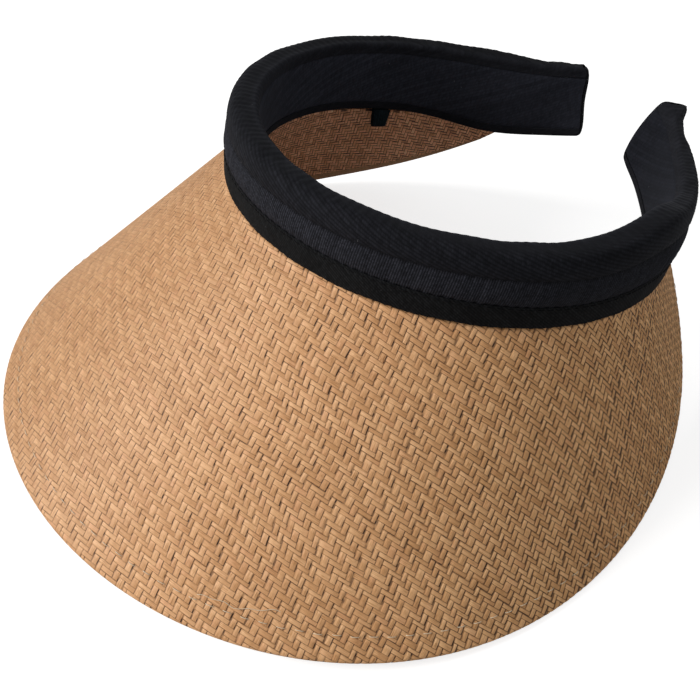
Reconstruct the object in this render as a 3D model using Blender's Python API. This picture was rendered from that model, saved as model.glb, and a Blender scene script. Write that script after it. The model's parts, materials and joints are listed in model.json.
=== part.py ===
"""Clip-on straw sun visor.

A wide straw brim sewn under a padded C-shaped headband that is open at the back
and holds by spring force. The brim is two straw sheets with a stiffening sheet
between them, folded under and topstitched at the rim. The headband is a tape
cover round a foam pad and a plastic spring strip, with a lining on the head
side and a hem tape over the seam that holds the brim.

Units are metres, +Z up. The wearer faces -Y and the wearer's left is +X.
Everything is modelled in the headband's own frame (band level, centred on the
head opening); the empty visor_frame tips that frame back to the attitude in
which the visor rests on the two sides of its rim. The origin is the bottom
centre of the bounding box.

A place along the band is a share: 0 at the front centre, 1 at the wearer's
left tip, -1 at the right tip. A place on its section is (out, rise): metres
out of the face and up it, from the lower outer edge. A tuple of terms holds
the coefficients of a power series, lowest power first.
"""

from math import atan2, copysign, cos, hypot, pi, radians, sin, sqrt, tan

import bmesh
import bpy
import numpy as np
from mathutils import Matrix, Vector

# ------------------------------------------- band shape; series in share squared
HALF_WIDTH = 0.07875        # half the width over the band's lower outer edge
FRONT_Y = -HALF_WIDTH       # the lower outer edge at the front centre
PLAN_TURN = 146.7           # heading of the band at its tips, degrees from the front
PLAN_SHAPE = (1.0, -0.372, -1.361, 1.253)   # curvature of the C in plan, terms
PLAN_END = 1.08             # share at which the plan table stops, past the tip
PLAN_SAMPLES = 4001
EDGE_RISE = (0.0034, -0.0272, 0.0245)       # rise of the lower edge, terms
LEAN = (2.04, 18.27, -90.0, 77.06, 0.0, 0.0, 0.0, 7.0)  # outward lean, degrees, terms
BAND_HEIGHT = (0.0245, 0.0146, -0.0095)     # terms
BAND_THICKNESS = 0.00895
CROWN = 0.0020              # how far the padded outer face bulges

# ------------------------------------------- shared thicknesses
TAPE = 0.0008               # cover, lining and hem tape
GAP = 0.0003                # clearance between neighbouring pieces
THREAD = 0.0005             # width of a stitch line
THREAD_HEIGHT = 0.0004

# ------------------------------------------- band layers
CORNER = 0.0012             # chamfer of the cover's corners
FACE_EDGE = 0.0002          # how far the face's upper and lower edges stand out
FACE_SHARES = (0.16, 0.3, 0.45, 0.6, 0.75, 0.87)    # cover rows up the face
TOP_RETURN = 0.0042         # cover turned over onto the head side, top
BOTTOM_RETURN = 0.0032      # the same, bottom
LINING_ROWS = 4
SPRING_THICKNESS = 0.0012
SPRING_MARGIN = 0.0044      # band left above and below the spring strip
SPRING_ROWS = 4
SPRING_MID = -BAND_THICKNESS + TAPE + GAP + SPRING_THICKNESS / 2
FOAM_MARGIN = 0.0017        # band left above and below the foam
FOAM_EXTRA_GAP = 0.0001     # further clearance under the cover
FOAM_ROUND = 0.0010
FOAM_ROWS = 6
HEM_START = 0.0006
HEM_HEIGHT = 0.0086
HEM_LEAST_OUT = 0.0003      # least stand-off of the hem tape from the face, before GAP
HEM_ROWS = 2
HEM_STITCH_HEIGHT = 0.0074
HEM_STITCH_GAP = 0.8 * GAP

# ------------------------------------------- band ends and chin-cord loops
END_MARGIN = 0.0003         # end cap's clearance at top and bottom
END_ROUND = 0.0012
END_ROWS = 6
END_COLUMNS = 2
LOOP_AT = 0.61              # share
LOOP_WIDTH = 0.0078
LOOP_DROP = 0.0080
LOOP_DEPTH = 0.0024         # between the outsides of its two legs
LOOP_FOLD = 0.0012          # height of the V at its bottom
LOOP_TAPE = 0.9 * TAPE
LOOP_ROOT = (-BAND_THICKNESS + 0.0002, -0.0005)     # out and rise of its top

# ------------------------------------------- brim shape
BRIM_REACH = 0.869          # share at which the brim's length falls to nothing
BRIM_END = 0.862            # share at which the solid brim stops
BRIM_ROOT = (0.0003, -0.0004)           # out and rise of its start on the band
BRIM_LENGTH = 0.1133        # front centre length along the slope
BRIM_TAPER = (-0.294, -0.470, 0.842)    # terms in (share / BRIM_REACH) squared
BRIM_SLOPE = (45.8, 18.4, -19.8)        # fall below level, degrees, the same terms
BRIM_FAN = (-90.0, 33.2)    # forward turn of its straight lines, degrees: share, share cubed
NORMAL_STEP = 1e-4          # share step for the brim's normals

# ------------------------------------------- brim layers
STRAW = 0.0009              # one straw sheet
STIFFENER = 0.0005
BRIM_THICKNESS = 2 * STRAW + STIFFENER + 2 * GAP
SEAM_ALLOWANCE = 0.0040     # brim margin sewn under the band
RIM_FOLD = 0.0090           # width of the straw folded under at the rim
RIM_FLAT = (0.0012, 0.0010)     # chamfer under the rim: down its edge, back under it
FOLD_CHAMFER = 0.0004       # chamfer inside the fold
RIM_STITCH_INSET = 0.0087

# ------------------------------------------- flexing and resting
FLEX_AT = 0.5               # share at which each arm flexes
OPEN_ANGLE = 15.0
CLOSE_ANGLE = 5.0
FLEX_SPARE = 1.5            # degrees left over at either limit
FLEX_SLOT = 0.00035         # least gap between the front and an arm
GAP_SHARE = 0.75            # share whose band height sets the section at the flex line
BRIM_CUT = -25.0            # plan direction of the brim's cut from the pivot, degrees
BRIM_CUT_SPARE = 1.2        # degrees left over when open
FRONT_CUT_GAP = 0.00015     # front brim's clearance from its cut line
ARM_CUT_GAP = 0.0002        # arm brim's clearance from its cut line
CUT_SEARCH = (0.25, 0.3)    # shares searched before and after FLEX_AT for the cut
CUT_HALVINGS = 40
REST_TILT = 9.8             # backward tip when it rests on its rim, degrees
REST_FLAT = 0.00035         # how far the rim is pressed flat where it rests
REST_SHARES = [0.002 * i for i in range(1, 420)]    # rim places tried for the lowest

# ------------------------------------------- stations
FLAT_HALF = 0.045           # half the straight step at the forehead, share
FRONT_STEPS = 12            # from the forehead flat to each flex line
ARM_STEPS = 14
WING_STEPS = 12             # along an arm's brim


def spaced(start, end, steps):
    return [start + (end - start) * i / steps for i in range(steps + 1)]


LEFT_FRONT_SHARES = spaced(FLAT_HALF, FLEX_AT, FRONT_STEPS)
FRONT_SHARES = [-share for share in reversed(LEFT_FRONT_SHARES)] + LEFT_FRONT_SHARES
ARM_SHARES = spaced(FLEX_AT, 1.0, ARM_STEPS)

# ------------------------------------------- materials
MATERIALS = {               # name: base colour, roughness
    "tape_cover": ((0.010, 0.011, 0.013), 0.85),
    "hem_tape": ((0.009, 0.010, 0.012), 0.80),
    "lining_tape": ((0.007, 0.008, 0.009), 0.90),
    "foam_pad": ((0.060, 0.060, 0.062), 0.95),
    "spring_strip": ((0.72, 0.74, 0.75), 0.35),
    "straw_sheet": ((0.50, 0.27, 0.115), 0.62),
    "straw_underside": ((0.42, 0.22, 0.095), 0.66),
    "stiffener_sheet": ((0.70, 0.66, 0.56), 0.55),
    "rim_thread": ((0.62, 0.50, 0.36), 0.35),
    "hem_thread": ((0.012, 0.013, 0.015), 0.55),
    "loop_tape": ((0.010, 0.020, 0.024), 0.80),
}


# ------------------------------------------- band geometry


def series(terms, x):
    return sum(term * x ** power for power, term in enumerate(terms))


def turn_integral(share):
    return sum(term * share ** (2 * i + 1) / (2 * i + 1) for i, term in enumerate(PLAN_SHAPE))


def heading(share):
    """Direction of the band in plan, radians from +X."""
    return radians(PLAN_TURN) * turn_integral(share) / turn_integral(1.0)


def running_integral(values, step):
    return np.concatenate([[0], np.cumsum((values[1:] + values[:-1]) / 2 * step)])


def plan_table():
    """Shares, x and y of the left half of the C, and metres of band per unit of share."""
    shares = np.linspace(0.0, PLAN_END, PLAN_SAMPLES)
    headings = np.array([heading(share) for share in shares])
    step = shares[1] - shares[0]
    x = running_integral(np.cos(headings), step)
    y = running_integral(np.sin(headings), step)
    scale = HALF_WIDTH / x.max()
    return shares, x * scale, y * scale, float(scale)


PLAN_SHARES, PLAN_X, PLAN_Y, ARC = plan_table()


def lower_edge(share):
    """The band's lower outer edge."""
    x = copysign(float(np.interp(abs(share), PLAN_SHARES, PLAN_X)), share)
    y = float(np.interp(abs(share), PLAN_SHARES, PLAN_Y)) + FRONT_Y
    square = share * share
    return Vector((x, y, square * series(EDGE_RISE, square)))


def lean_angle(share):
    return radians(series(LEAN, share * share))


def band_axes(share):
    """Unit vectors along the band, up its face and out of its face."""
    lean = lean_angle(share)
    along = Vector((cos(heading(share)), sin(heading(share)), 0))
    level = Vector((along.y, -along.x, 0))
    vertical = Vector((0, 0, 1))
    upward = cos(lean) * vertical + sin(lean) * level
    outward = cos(lean) * level - sin(lean) * vertical
    return along, upward, outward


def band_height(share):
    return series(BAND_HEIGHT, share * share)


def band_point(share, out, rise):
    _, upward, outward = band_axes(share)
    return lower_edge(share) + rise * upward + out * outward


def crown(rise, height):
    """How far the outer face bulges at a rise."""
    return CROWN * sin(pi * min(max(rise / height, 0), 1))


def flex_pivot():
    """The left arm's vertical flex axis, through the spring strip's middle."""
    point = band_point(FLEX_AT, SPRING_MID, band_height(FLEX_AT) / 2)
    return Vector((point.x, point.y, 0))


PIVOT = flex_pivot()


def flex_gap(out, rise):
    """Arc left free on the arm's side of the flex line, a V that closes at the limits."""
    lean = lean_angle(FLEX_AT)
    reach = out * cos(lean) + rise * sin(lean) - SPRING_MID
    if reach > 0:
        return FLEX_SLOT + reach * tan(radians(OPEN_ANGLE + FLEX_SPARE))
    return FLEX_SLOT - reach * tan(radians(CLOSE_ANGLE + FLEX_SPARE))


# ------------------------------------------- brim geometry


def brim_line(share):
    """Start, direction and length of the brim's straight line at a share."""
    square = (share / BRIM_REACH) ** 2
    fan = radians(BRIM_FAN[0]) * share + radians(BRIM_FAN[1]) * share ** 3
    angle = heading(share) - pi / 2 + fan
    slope = radians(series(BRIM_SLOPE, square))
    direction = Vector((cos(angle) * cos(slope), sin(angle) * cos(slope), -sin(slope)))
    taper = 1 + square * series(BRIM_TAPER, square)
    length = BRIM_LENGTH * taper * sqrt(max(1 - square * square, 0))
    return band_point(share, *BRIM_ROOT), direction, length


def brim_normal(share, part_way):
    """Upward normal of the brim at a part of the line's length."""
    def line_point(at):
        start, direction, length = brim_line(at)
        return start + direction * length * part_way

    across = line_point(share + NORMAL_STEP) - line_point(share - NORMAL_STEP)
    normal = across.cross(brim_line(share)[1]).normalized()
    return normal if normal.z > 0 else -normal


def brim_point(share, place, depth, inset=0.0):
    """A point of the brim: place is 'seam', 'root' or a part of the line's
    length; depth is below the top face and inset is back from the rim."""
    start, direction, length = brim_line(share)
    _, upward, outward = band_axes(share)
    if place == "seam":
        return start - SEAM_ALLOWANCE * outward - depth * upward
    if place == "root":
        normal = brim_normal(share, 0.0)
        mitre = (upward + normal) / (1 + upward.dot(normal))
        return start - depth * mitre
    return start + direction * (length * place - inset) - depth * brim_normal(share, place)


def brim_limit(part, where):
    """The share at which a line along the brim reaches its cut near the left flex line."""
    low = FLEX_AT - CUT_SEARCH[0]
    high = FLEX_AT + CUT_SEARCH[1]
    for _ in range(CUT_HALVINGS):
        middle = (low + high) / 2
        from_pivot = brim_point(middle, *where) - PIVOT
        radius = hypot(from_pivot.x, from_pivot.y)
        if part == "front":
            cut = radians(BRIM_CUT) - FRONT_CUT_GAP / radius
        else:
            cut = radians(BRIM_CUT + OPEN_ANGLE + BRIM_CUT_SPARE) + ARM_CUT_GAP / radius
        if atan2(from_pivot.y, from_pivot.x) < cut:
            low = middle
        else:
            high = middle
    return (low + high) / 2


# ------------------------------------------- resting attitude

TIP_BACK = Matrix.Rotation(radians(-REST_TILT), 4, "X")
TIP_LEVEL = TIP_BACK.inverted()


def lowest_rim():
    """Lowest height, tipped back, of the higher edge of the rim's chamfer."""
    down, back = RIM_FLAT
    return min(max((TIP_BACK @ brim_point(share, 1.0, BRIM_THICKNESS - down)).z,
                   (TIP_BACK @ brim_point(share, 1.0, BRIM_THICKNESS, back)).z)
               for share in REST_SHARES)


REST_LEVEL = lowest_rim() + REST_FLAT


def press_flat(point):
    """Keeps a brim point above the plane the visor rests on."""
    tipped = TIP_BACK @ point
    if tipped.z >= REST_LEVEL:
        return point
    tipped.z = REST_LEVEL
    return TIP_LEVEL @ tipped


# ------------------------------------------- solid builders


def slab(steps, rows, place):
    """A closed sheet: a grid of steps by rows and its extruded copy. place(side,
    step, row) gives each vertex; side is 0 on the outer face and 1 on the inner."""
    bm = bmesh.new()
    bmesh.ops.create_grid(bm, x_segments=steps, y_segments=rows, size=0.5)
    made = bmesh.ops.extrude_face_region(bm, geom=bm.faces[:])
    lifted = [v for v in made["geom"] if isinstance(v, bmesh.types.BMVert)]
    bmesh.ops.translate(bm, verts=lifted, vec=(0, 0, 1))
    for vert in bm.verts:
        step = round((vert.co.x + 0.5) * steps)
        row = round((vert.co.y + 0.5) * rows)
        vert.co = place(1 if vert.co.z > 0.5 else 0, step, row)
    bmesh.ops.recalc_face_normals(bm, faces=bm.faces)
    if bm.calc_volume(signed=True) < 0:
        bmesh.ops.reverse_faces(bm, faces=bm.faces)
    return bm


def band_slab(part, section):
    """A band layer. section(height) gives its outer and inner rows of (out, rise)."""
    shares = FRONT_SHARES if part == "front" else ARM_SHARES
    flex_section = section(band_height(GAP_SHARE))

    def place(side, step, row):
        share = shares[step]
        if part == "arm" and step == 0:
            share += flex_gap(*flex_section[side][row]) / ARC
        return band_point(share, *section(band_height(share))[side][row])

    return slab(len(shares) - 1, len(flex_section[0]) - 1, place)


def brim_slab(part, sheet):
    """A brim layer. sheet is its outer and inner rows of (place, depth, inset)."""
    limits = [[brim_limit(part, where) for where in rows] for rows in sheet]

    def place(side, step, row):
        limit = limits[side][row]
        if part == "front":
            share = FRONT_SHARES[step]
            past_flat = (abs(share) - FLAT_HALF) / (FLEX_AT - FLAT_HALF)
            share *= 1 + (limit / FLEX_AT - 1) * max(past_flat, 0)
        else:
            share = limit + (BRIM_END - limit) * step / WING_STEPS
        return press_flat(brim_point(share, *sheet[side][row]))

    steps = len(FRONT_SHARES) - 1 if part == "front" else WING_STEPS
    return slab(steps, len(sheet[0]) - 1, place)


def offset_path(points, distance):
    """A path moved to its left by a distance, with mitred corners."""
    turned = [(end - start).normalized() for start, end in zip(points, points[1:])]
    normals = [Vector((-way.y, way.x)) for way in turned]
    moved = []
    for point, before, after in zip(points, normals[:1] + normals, normals + normals[-1:]):
        mitre = (before + after) / (1 + before.dot(after))
        moved.append(point + mitre * distance)
    return moved


# ------------------------------------------- band sections, by band height


def cover_section(height):
    """From the lower return round the outer face to the upper return."""
    back = -BAND_THICKNESS
    face = [(crown(height * part, height), height * part) for part in FACE_SHARES]
    outer = [Vector(point) for point in [
        (back, BOTTOM_RETURN), (back, CORNER), (back + CORNER, 0), (-CORNER, 0),
        (FACE_EDGE, CORNER), *face, (FACE_EDGE, height - CORNER),
        (-CORNER, height), (back + CORNER, height), (back, height - CORNER),
        (back, height - TOP_RETURN)]]
    return outer, offset_path(outer, TAPE)


def flat_section(outer_out, inner_out, rises):
    return [(outer_out, rise) for rise in rises], [(inner_out, rise) for rise in rises]


def lining_section(height):
    rises = spaced(BOTTOM_RETURN + GAP, height - TOP_RETURN - GAP, LINING_ROWS)
    return flat_section(-BAND_THICKNESS, -BAND_THICKNESS + TAPE, rises)


def spring_section(height):
    rises = spaced(SPRING_MARGIN, height - SPRING_MARGIN, SPRING_ROWS)
    half = SPRING_THICKNESS / 2
    return flat_section(SPRING_MID + half, SPRING_MID - half, rises)


def foam_section(height):
    """Rounded off towards its upper and lower edges, under the cover."""
    rises = spaced(FOAM_MARGIN, height - FOAM_MARGIN, FOAM_ROWS)
    outer = []
    for row, rise in enumerate(rises):
        edge_round = FOAM_ROUND * abs(2 * row / FOAM_ROWS - 1) ** 6
        outer.append((crown(rise, height) - TAPE - GAP - FOAM_EXTRA_GAP - edge_round, rise))
    back = SPRING_MID + SPRING_THICKNESS / 2 + GAP
    return outer, [(back, rise) for rise in rises]


def hem_section(height):
    inner = [(max(HEM_LEAST_OUT, crown(rise, height)) + GAP, rise)
             for rise in spaced(HEM_START, HEM_HEIGHT, HEM_ROWS)]
    return [(out + TAPE, rise) for out, rise in inner], inner


def hem_thread_section(height):
    inner = [(crown(rise, height) + GAP + TAPE + HEM_STITCH_GAP, rise)
             for rise in (HEM_STITCH_HEIGHT, HEM_STITCH_HEIGHT + THREAD)]
    return [(out + THREAD_HEIGHT, rise) for out, rise in inner], inner


# ------------------------------------------- brim sheets


def straw_sheet():
    """The top straw sheet, from its seam margin over the rim to the end of its fold."""
    full = BRIM_THICKNESS
    down, back = RIM_FLAT
    outer = [("seam", 0, 0), ("root", 0, 0), (0.5, 0, 0), (1.0, 0, 0),
             (1.0, full - down, 0), (1.0, full, back), (1.0, full, RIM_FOLD)]
    inner = [("seam", STRAW, 0), ("root", STRAW, 0), (0.5, STRAW, 0), (1.0, STRAW, STRAW),
             (1.0, full - STRAW - FOLD_CHAMFER, STRAW),
             (1.0, full - STRAW, STRAW + FOLD_CHAMFER),
             (1.0, full - STRAW, RIM_FOLD)]
    return outer, inner


def plain_sheet(top, thickness, middle, rim_inset):
    """An unfolded sheet from the seam margin to rim_inset short of the rim."""
    return [[("seam", depth, 0), ("root", depth, 0), (middle, depth, 0),
             (1.0, depth, rim_inset)] for depth in (top, top + thickness)]


def rim_thread_sheet():
    return [[(1.0, depth, inset) for inset in (RIM_STITCH_INSET, RIM_STITCH_INSET - THREAD)]
            for depth in (-GAP - THREAD_HEIGHT, -GAP)]


# ------------------------------------------- arm fittings


def end_cap():
    """The cover's sewn end, closing the band at its tip."""
    shares = (1.0 + GAP / ARC, 1.0 + (GAP + TAPE) / ARC)
    height = band_height(1.0)
    rises = spaced(END_MARGIN, height - END_MARGIN, END_ROWS)

    def place(side, step, row):
        edge_round = END_ROUND * abs(2 * row / END_ROWS - 1) ** 8
        back = -BAND_THICKNESS + edge_round
        face = crown(rises[row], height) - edge_round
        return band_point(shares[side], back + (face - back) * step / END_COLUMNS, rises[row])

    return slab(END_COLUMNS, END_ROWS, place)


def cord_loop():
    """A folded tape loop hanging inside the band's lower edge, flat on both faces."""
    along, upward, outward = band_axes(LOOP_AT)
    base = band_point(LOOP_AT, *LOOP_ROOT)
    outside = [Vector(point) for point in (
        (0, 0), (0, -LOOP_DROP + LOOP_FOLD), (LOOP_DEPTH / 2, -LOOP_DROP),
        (LOOP_DEPTH, -LOOP_DROP + LOOP_FOLD), (LOOP_DEPTH, 0))]
    faces = (outside, offset_path(outside, LOOP_TAPE))

    def place(side, step, row):
        point = faces[side][row]
        across = along * (LOOP_WIDTH * (step - 0.5))
        return base + across + point.x * outward + point.y * upward

    return slab(1, len(outside) - 1, place)


# ------------------------------------------- pieces

BAND_LAYERS = (             # name, material, section
    ("lining", "lining_tape", lining_section),
    ("spring", "spring_strip", spring_section),
    ("foam_pad", "foam_pad", foam_section),
    ("cover", "tape_cover", cover_section),
    ("hem_tape", "hem_tape", hem_section),
    ("hem_stitching", "hem_thread", hem_thread_section),
)
BRIM_LAYERS = (             # name, material, sheet
    ("brim_straw", "straw_sheet", straw_sheet()),
    ("brim_stiffener", "stiffener_sheet",
     plain_sheet(top=STRAW + GAP, thickness=STIFFENER, middle=0.5, rim_inset=STRAW + GAP)),
    ("brim_underside", "straw_underside",
     plain_sheet(top=STRAW + GAP + STIFFENER + GAP, thickness=STRAW, middle=0.4,
                 rim_inset=RIM_FOLD + GAP)),
    ("rim_stitching", "rim_thread", rim_thread_sheet()),
)


def part_pieces(part):
    """Name, material name and mesh of each piece of the front or the left arm."""
    for name, material_name, section in BAND_LAYERS:
        yield name, material_name, band_slab(part, section)
    for name, material_name, sheet in BRIM_LAYERS:
        yield name, material_name, brim_slab(part, sheet)
    if part == "arm":
        yield "end_cap", "tape_cover", end_cap()
        yield "cord_loop", "loop_tape", cord_loop()


# ------------------------------------------- assembly


def clear_scene():
    for obj in list(bpy.data.objects):
        bpy.data.objects.remove(obj, do_unlink=True)


def make_material(name, colour, roughness):
    mat = bpy.data.materials.new(name)
    mat.use_nodes = True
    shader = mat.node_tree.nodes["Principled BSDF"]
    shader.inputs["Base Color"].default_value = (*colour, 1.0)
    shader.inputs["Roughness"].default_value = roughness
    return mat


def mirror(bm):
    for vert in bm.verts:
        vert.co.x = -vert.co.x
    bmesh.ops.reverse_faces(bm, faces=bm.faces)


def add_piece(name, bm, mat, parent, collection):
    """Adds a piece modelled in the band's frame under a parent that is only shifted in it."""
    bmesh.ops.translate(bm, verts=bm.verts, vec=-parent.location)
    mesh = bpy.data.meshes.new(name)
    bm.to_mesh(mesh)
    bm.free()
    mesh.shade_smooth()
    mesh.set_sharp_from_angle(angle=radians(35))
    mesh.materials.append(mat)
    obj = bpy.data.objects.new(name, mesh)
    collection.objects.link(obj)
    obj.parent = parent


def add_empty(name, parent, location, collection):
    obj = bpy.data.objects.new(name, None)
    obj.empty_display_size = 0.02
    obj.location = location
    collection.objects.link(obj)
    obj.parent = parent
    return obj


def set_origin(root, collection):
    """Moves the visor so that the world origin is its bottom centre."""
    bpy.context.view_layer.update()
    corners = [obj.matrix_world @ vert.co for obj in collection.objects if obj.type == "MESH"
               for vert in obj.data.vertices]
    depths = [corner.y for corner in corners]
    lowest = min(corner.z for corner in corners)
    root.location = (0, -(min(depths) + max(depths)) / 2, -lowest)
    bpy.context.view_layer.update()


def build():
    clear_scene()
    collection = bpy.data.collections.new("sun_visor")
    bpy.context.scene.collection.children.link(collection)
    materials = {name: make_material(name, colour, roughness)
                 for name, (colour, roughness) in MATERIALS.items()}

    root = add_empty("visor_frame", None, (0, 0, 0), collection)
    root.rotation_euler = (radians(-REST_TILT), 0, 0)
    right_pivot = Vector((-PIVOT.x, PIVOT.y, PIVOT.z))
    parents = {
        "front": add_empty("front_frame", root, (0, 0, 0), collection),
        "left": add_empty("left_arm_pivot", root, PIVOT, collection),
        "right": add_empty("right_arm_pivot", root, right_pivot, collection),
    }
    for prefix, parent in parents.items():
        for name, material_name, bm in part_pieces("front" if prefix == "front" else "arm"):
            if prefix == "right":
                mirror(bm)
            add_piece(f"{prefix}_{name}", bm, materials[material_name], parent, collection)

    set_origin(root, collection)


build()
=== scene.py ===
"""A clip-on straw sun visor: a woven straw brim on a padded, sprung twill band.

The wearer faces -Y, so the wearer's left is +X, and the band's ends point back to +Y.
The pieces are drawn in a level frame, then tilted about X and moved onto the frame's
joints by world(). Lengths are in metres.

A place on the band is (arc, out, up): arc is the share of half the band's length, 0 at
the front, 1 at the left end and -1 at the right end; out is the distance outwards from
the outer face, negative towards the head; up is the distance above the lower edge.
Side is 1 for the left half and -1 for the right half.
"""
import json
from math import atan2, cos, pi, radians, sin, sqrt

import bpy
import numpy as np
from mathutils import Matrix, Vector

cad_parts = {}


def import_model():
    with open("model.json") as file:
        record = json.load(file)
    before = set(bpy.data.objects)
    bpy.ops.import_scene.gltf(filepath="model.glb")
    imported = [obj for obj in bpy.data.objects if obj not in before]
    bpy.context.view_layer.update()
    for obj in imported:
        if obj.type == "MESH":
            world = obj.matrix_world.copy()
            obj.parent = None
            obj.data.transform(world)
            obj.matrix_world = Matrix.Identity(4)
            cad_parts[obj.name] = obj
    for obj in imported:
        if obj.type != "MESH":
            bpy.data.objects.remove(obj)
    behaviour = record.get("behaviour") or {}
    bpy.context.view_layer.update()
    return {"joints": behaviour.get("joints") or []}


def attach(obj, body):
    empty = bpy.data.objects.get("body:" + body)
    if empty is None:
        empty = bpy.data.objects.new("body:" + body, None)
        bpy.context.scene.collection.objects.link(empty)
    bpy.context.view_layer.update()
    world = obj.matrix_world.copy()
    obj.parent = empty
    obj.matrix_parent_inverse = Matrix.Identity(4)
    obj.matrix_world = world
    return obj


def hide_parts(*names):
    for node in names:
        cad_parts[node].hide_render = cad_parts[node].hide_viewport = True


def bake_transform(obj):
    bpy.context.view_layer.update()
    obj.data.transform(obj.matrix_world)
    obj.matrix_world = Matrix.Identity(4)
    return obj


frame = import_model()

RNG = np.random.default_rng(41)
MM = 0.001
SIDES = {1: "left", -1: "right"}

# ---------------------------------------------------------------- dimensions
# Band. Tuples are the terms of a power series in arc squared.
HALF_WIDTH = 0.07875
FRONT_Y = -HALF_WIDTH
PLAN_TURN = 146.7                       # degrees from the front to an end
PLAN_SHAPE = (-0.372, -1.361, 1.253)    # how the curvature varies, after a first term of 1
EDGE_RISE = (0.0034, -0.0272, 0.0245)   # lower edge, times arc squared
LEAN = (2.04, 18.27, -90.0, 77.06, 0.0, 0.0, 0.0, 7.0)  # outward lean, degrees
BAND_HEIGHT = (0.0245, 0.0146, -0.0095)
BAND_DEPTH = 0.00895
CROWN = 0.0020                          # swell of the outer face at mid height
HEM_HEIGHT = 0.0086
HEM_PITCH = 3.2 * MM                    # between hem stitches
LINING_LOW, LINING_DROP = 0.0032, 0.0042  # lining's edges, from the band's two edges
TAPE = 0.0008
RIB = 0.75 * MM                         # spacing of the ribs along the band
SLANT = 0.10                            # how far the ribs lean
GROOVE = 0.70                           # the ribs stop at this share of the height
LOOP_AT = 0.61
FLEX_AT = 0.5
FLEX_REACH = 0.028                      # bending stretch each way from the pivot
FLEX_HEADING = radians(17)

# Brim. Slope and taper are series in (arc / reach) squared.
BRIM_REACH, BRIM_LENGTH = 0.869, 0.1133
BRIM_END = 0.8640
BRIM_TAPER = (-0.294, -0.470, 0.842)
BRIM_SLOPE = (45.8, 18.4, -19.8)
BRIM_FAN = (-90.0, 33.2)                # degrees times arc, and times arc cubed
STRAW, STIFFENER, GAP = 0.0009, 0.0005, 0.0003
BRIM_DEPTH = 2 * STRAW + STIFFENER + 2 * GAP
RIM_RADIUS = BRIM_DEPTH / 2
RIM_FOLD = 0.0090                       # width of straw turned under
SHORT_LINE = 0.024                      # lines shorter than this get a smaller fold
STITCH_INSET, STITCH_PITCH = 0.0087, 2.75 * MM
SPLITS = (0.0, 0.215, FLEX_AT, BRIM_END)
PATCHES = ("front", "side", "wing")

SPRING_HALF = 0.0006
SPRING_MID = -BAND_DEPTH + TAPE + GAP + SPRING_HALF
TILT = radians(-9.8)


def series(terms, x):
    return sum(term * x ** i for i, term in enumerate(terms))


def smooth(low, high, x):
    t = np.clip((np.asarray(x, float) - low) / (high - low), 0, 1)
    return t * t * (3 - 2 * t)


def running(steps):
    return np.concatenate([[0], np.cumsum(steps)])


def run_length(points):
    return running(np.linalg.norm(np.diff(points, axis=0), axis=1))


# ---------------------------------------------------------------- band surface


def turn_integral(arc):
    first, second, third = PLAN_SHAPE
    return arc + first * arc ** 3 / 3 + second * arc ** 5 / 5 + third * arc ** 7 / 7


def heading(arc):
    return radians(PLAN_TURN) * turn_integral(arc) / turn_integral(1.0)


def integrate(values, step):
    return running((values[1:] + values[:-1]) / 2 * step)


PLAN_ARC = np.linspace(0, 1.08, 8001)
PLAN_X, PLAN_Y = (integrate(wave(heading(PLAN_ARC)), PLAN_ARC[1] - PLAN_ARC[0])
                  for wave in (np.cos, np.sin))
HALF_ARC = float(HALF_WIDTH / PLAN_X.max())     # length of half the band
PLAN_X, PLAN_Y = PLAN_X * HALF_ARC, PLAN_Y * HALF_ARC


def edge(arc):
    """The band's lower outer edge."""
    size, square = np.abs(arc), arc * arc
    x = np.sign(arc) * np.interp(size, PLAN_ARC, PLAN_X)
    y = np.interp(size, PLAN_ARC, PLAN_Y) + FRONT_Y
    return np.stack([x, y, square * series(EDGE_RISE, square)], -1)


def axes(arc):
    """Directions along, up and out of the leaning band."""
    turn, lean = heading(arc), np.radians(series(LEAN, arc * arc))
    zero = np.zeros_like(turn)
    along_dir = np.stack([np.cos(turn), np.sin(turn), zero], -1)
    level = np.stack([np.sin(turn), -np.cos(turn), zero], -1)
    z = np.array([0, 0, 1.0])
    upright, tip = np.cos(lean)[..., None], np.sin(lean)[..., None]
    return along_dir, upright * z + tip * level, upright * level - tip * z


def height(arc):
    return series(BAND_HEIGHT, arc * arc)


def band_point(arc, out, up):
    _, up_dir, out_dir = axes(arc)
    return edge(arc) + np.asarray(up)[..., None] * up_dir + np.asarray(out)[..., None] * out_dir


def tip_warp(arc, out, up):
    """Thins the band where the padding stops, fills it at the sewn ends, and swells the
    head side near the ends, most at the left."""
    from_end = (1.0 - np.abs(arc)) * HALF_ARC
    share = np.clip(up / height(arc), 0, 1)
    inside = np.clip(-np.asarray(out) / BAND_DEPTH, 0, 1)
    belly = (np.where(arc > 0, 0.0046, 0.0012) * np.exp(-(from_end / 0.0105) ** 2)
             * (0.40 + 0.60 * np.sin(pi * share) ** 0.8))
    waist = -0.0015 * np.exp(-((from_end - 0.023) / 0.012) ** 2) * smooth(0.0, 0.6, share)
    full = 0.0011 * np.exp(-((from_end - 0.0035) / 0.0045) ** 2) * smooth(0.2, 0.8, share)
    pinch = (0.0036 * inside * share ** 1.5 * smooth(0.56, 0.70, arc)
             * (1 - 0.7 * smooth(0.92, 1.0, arc)))
    return out - belly * inside + pinch + (waist + full) * (1 - inside)


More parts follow.
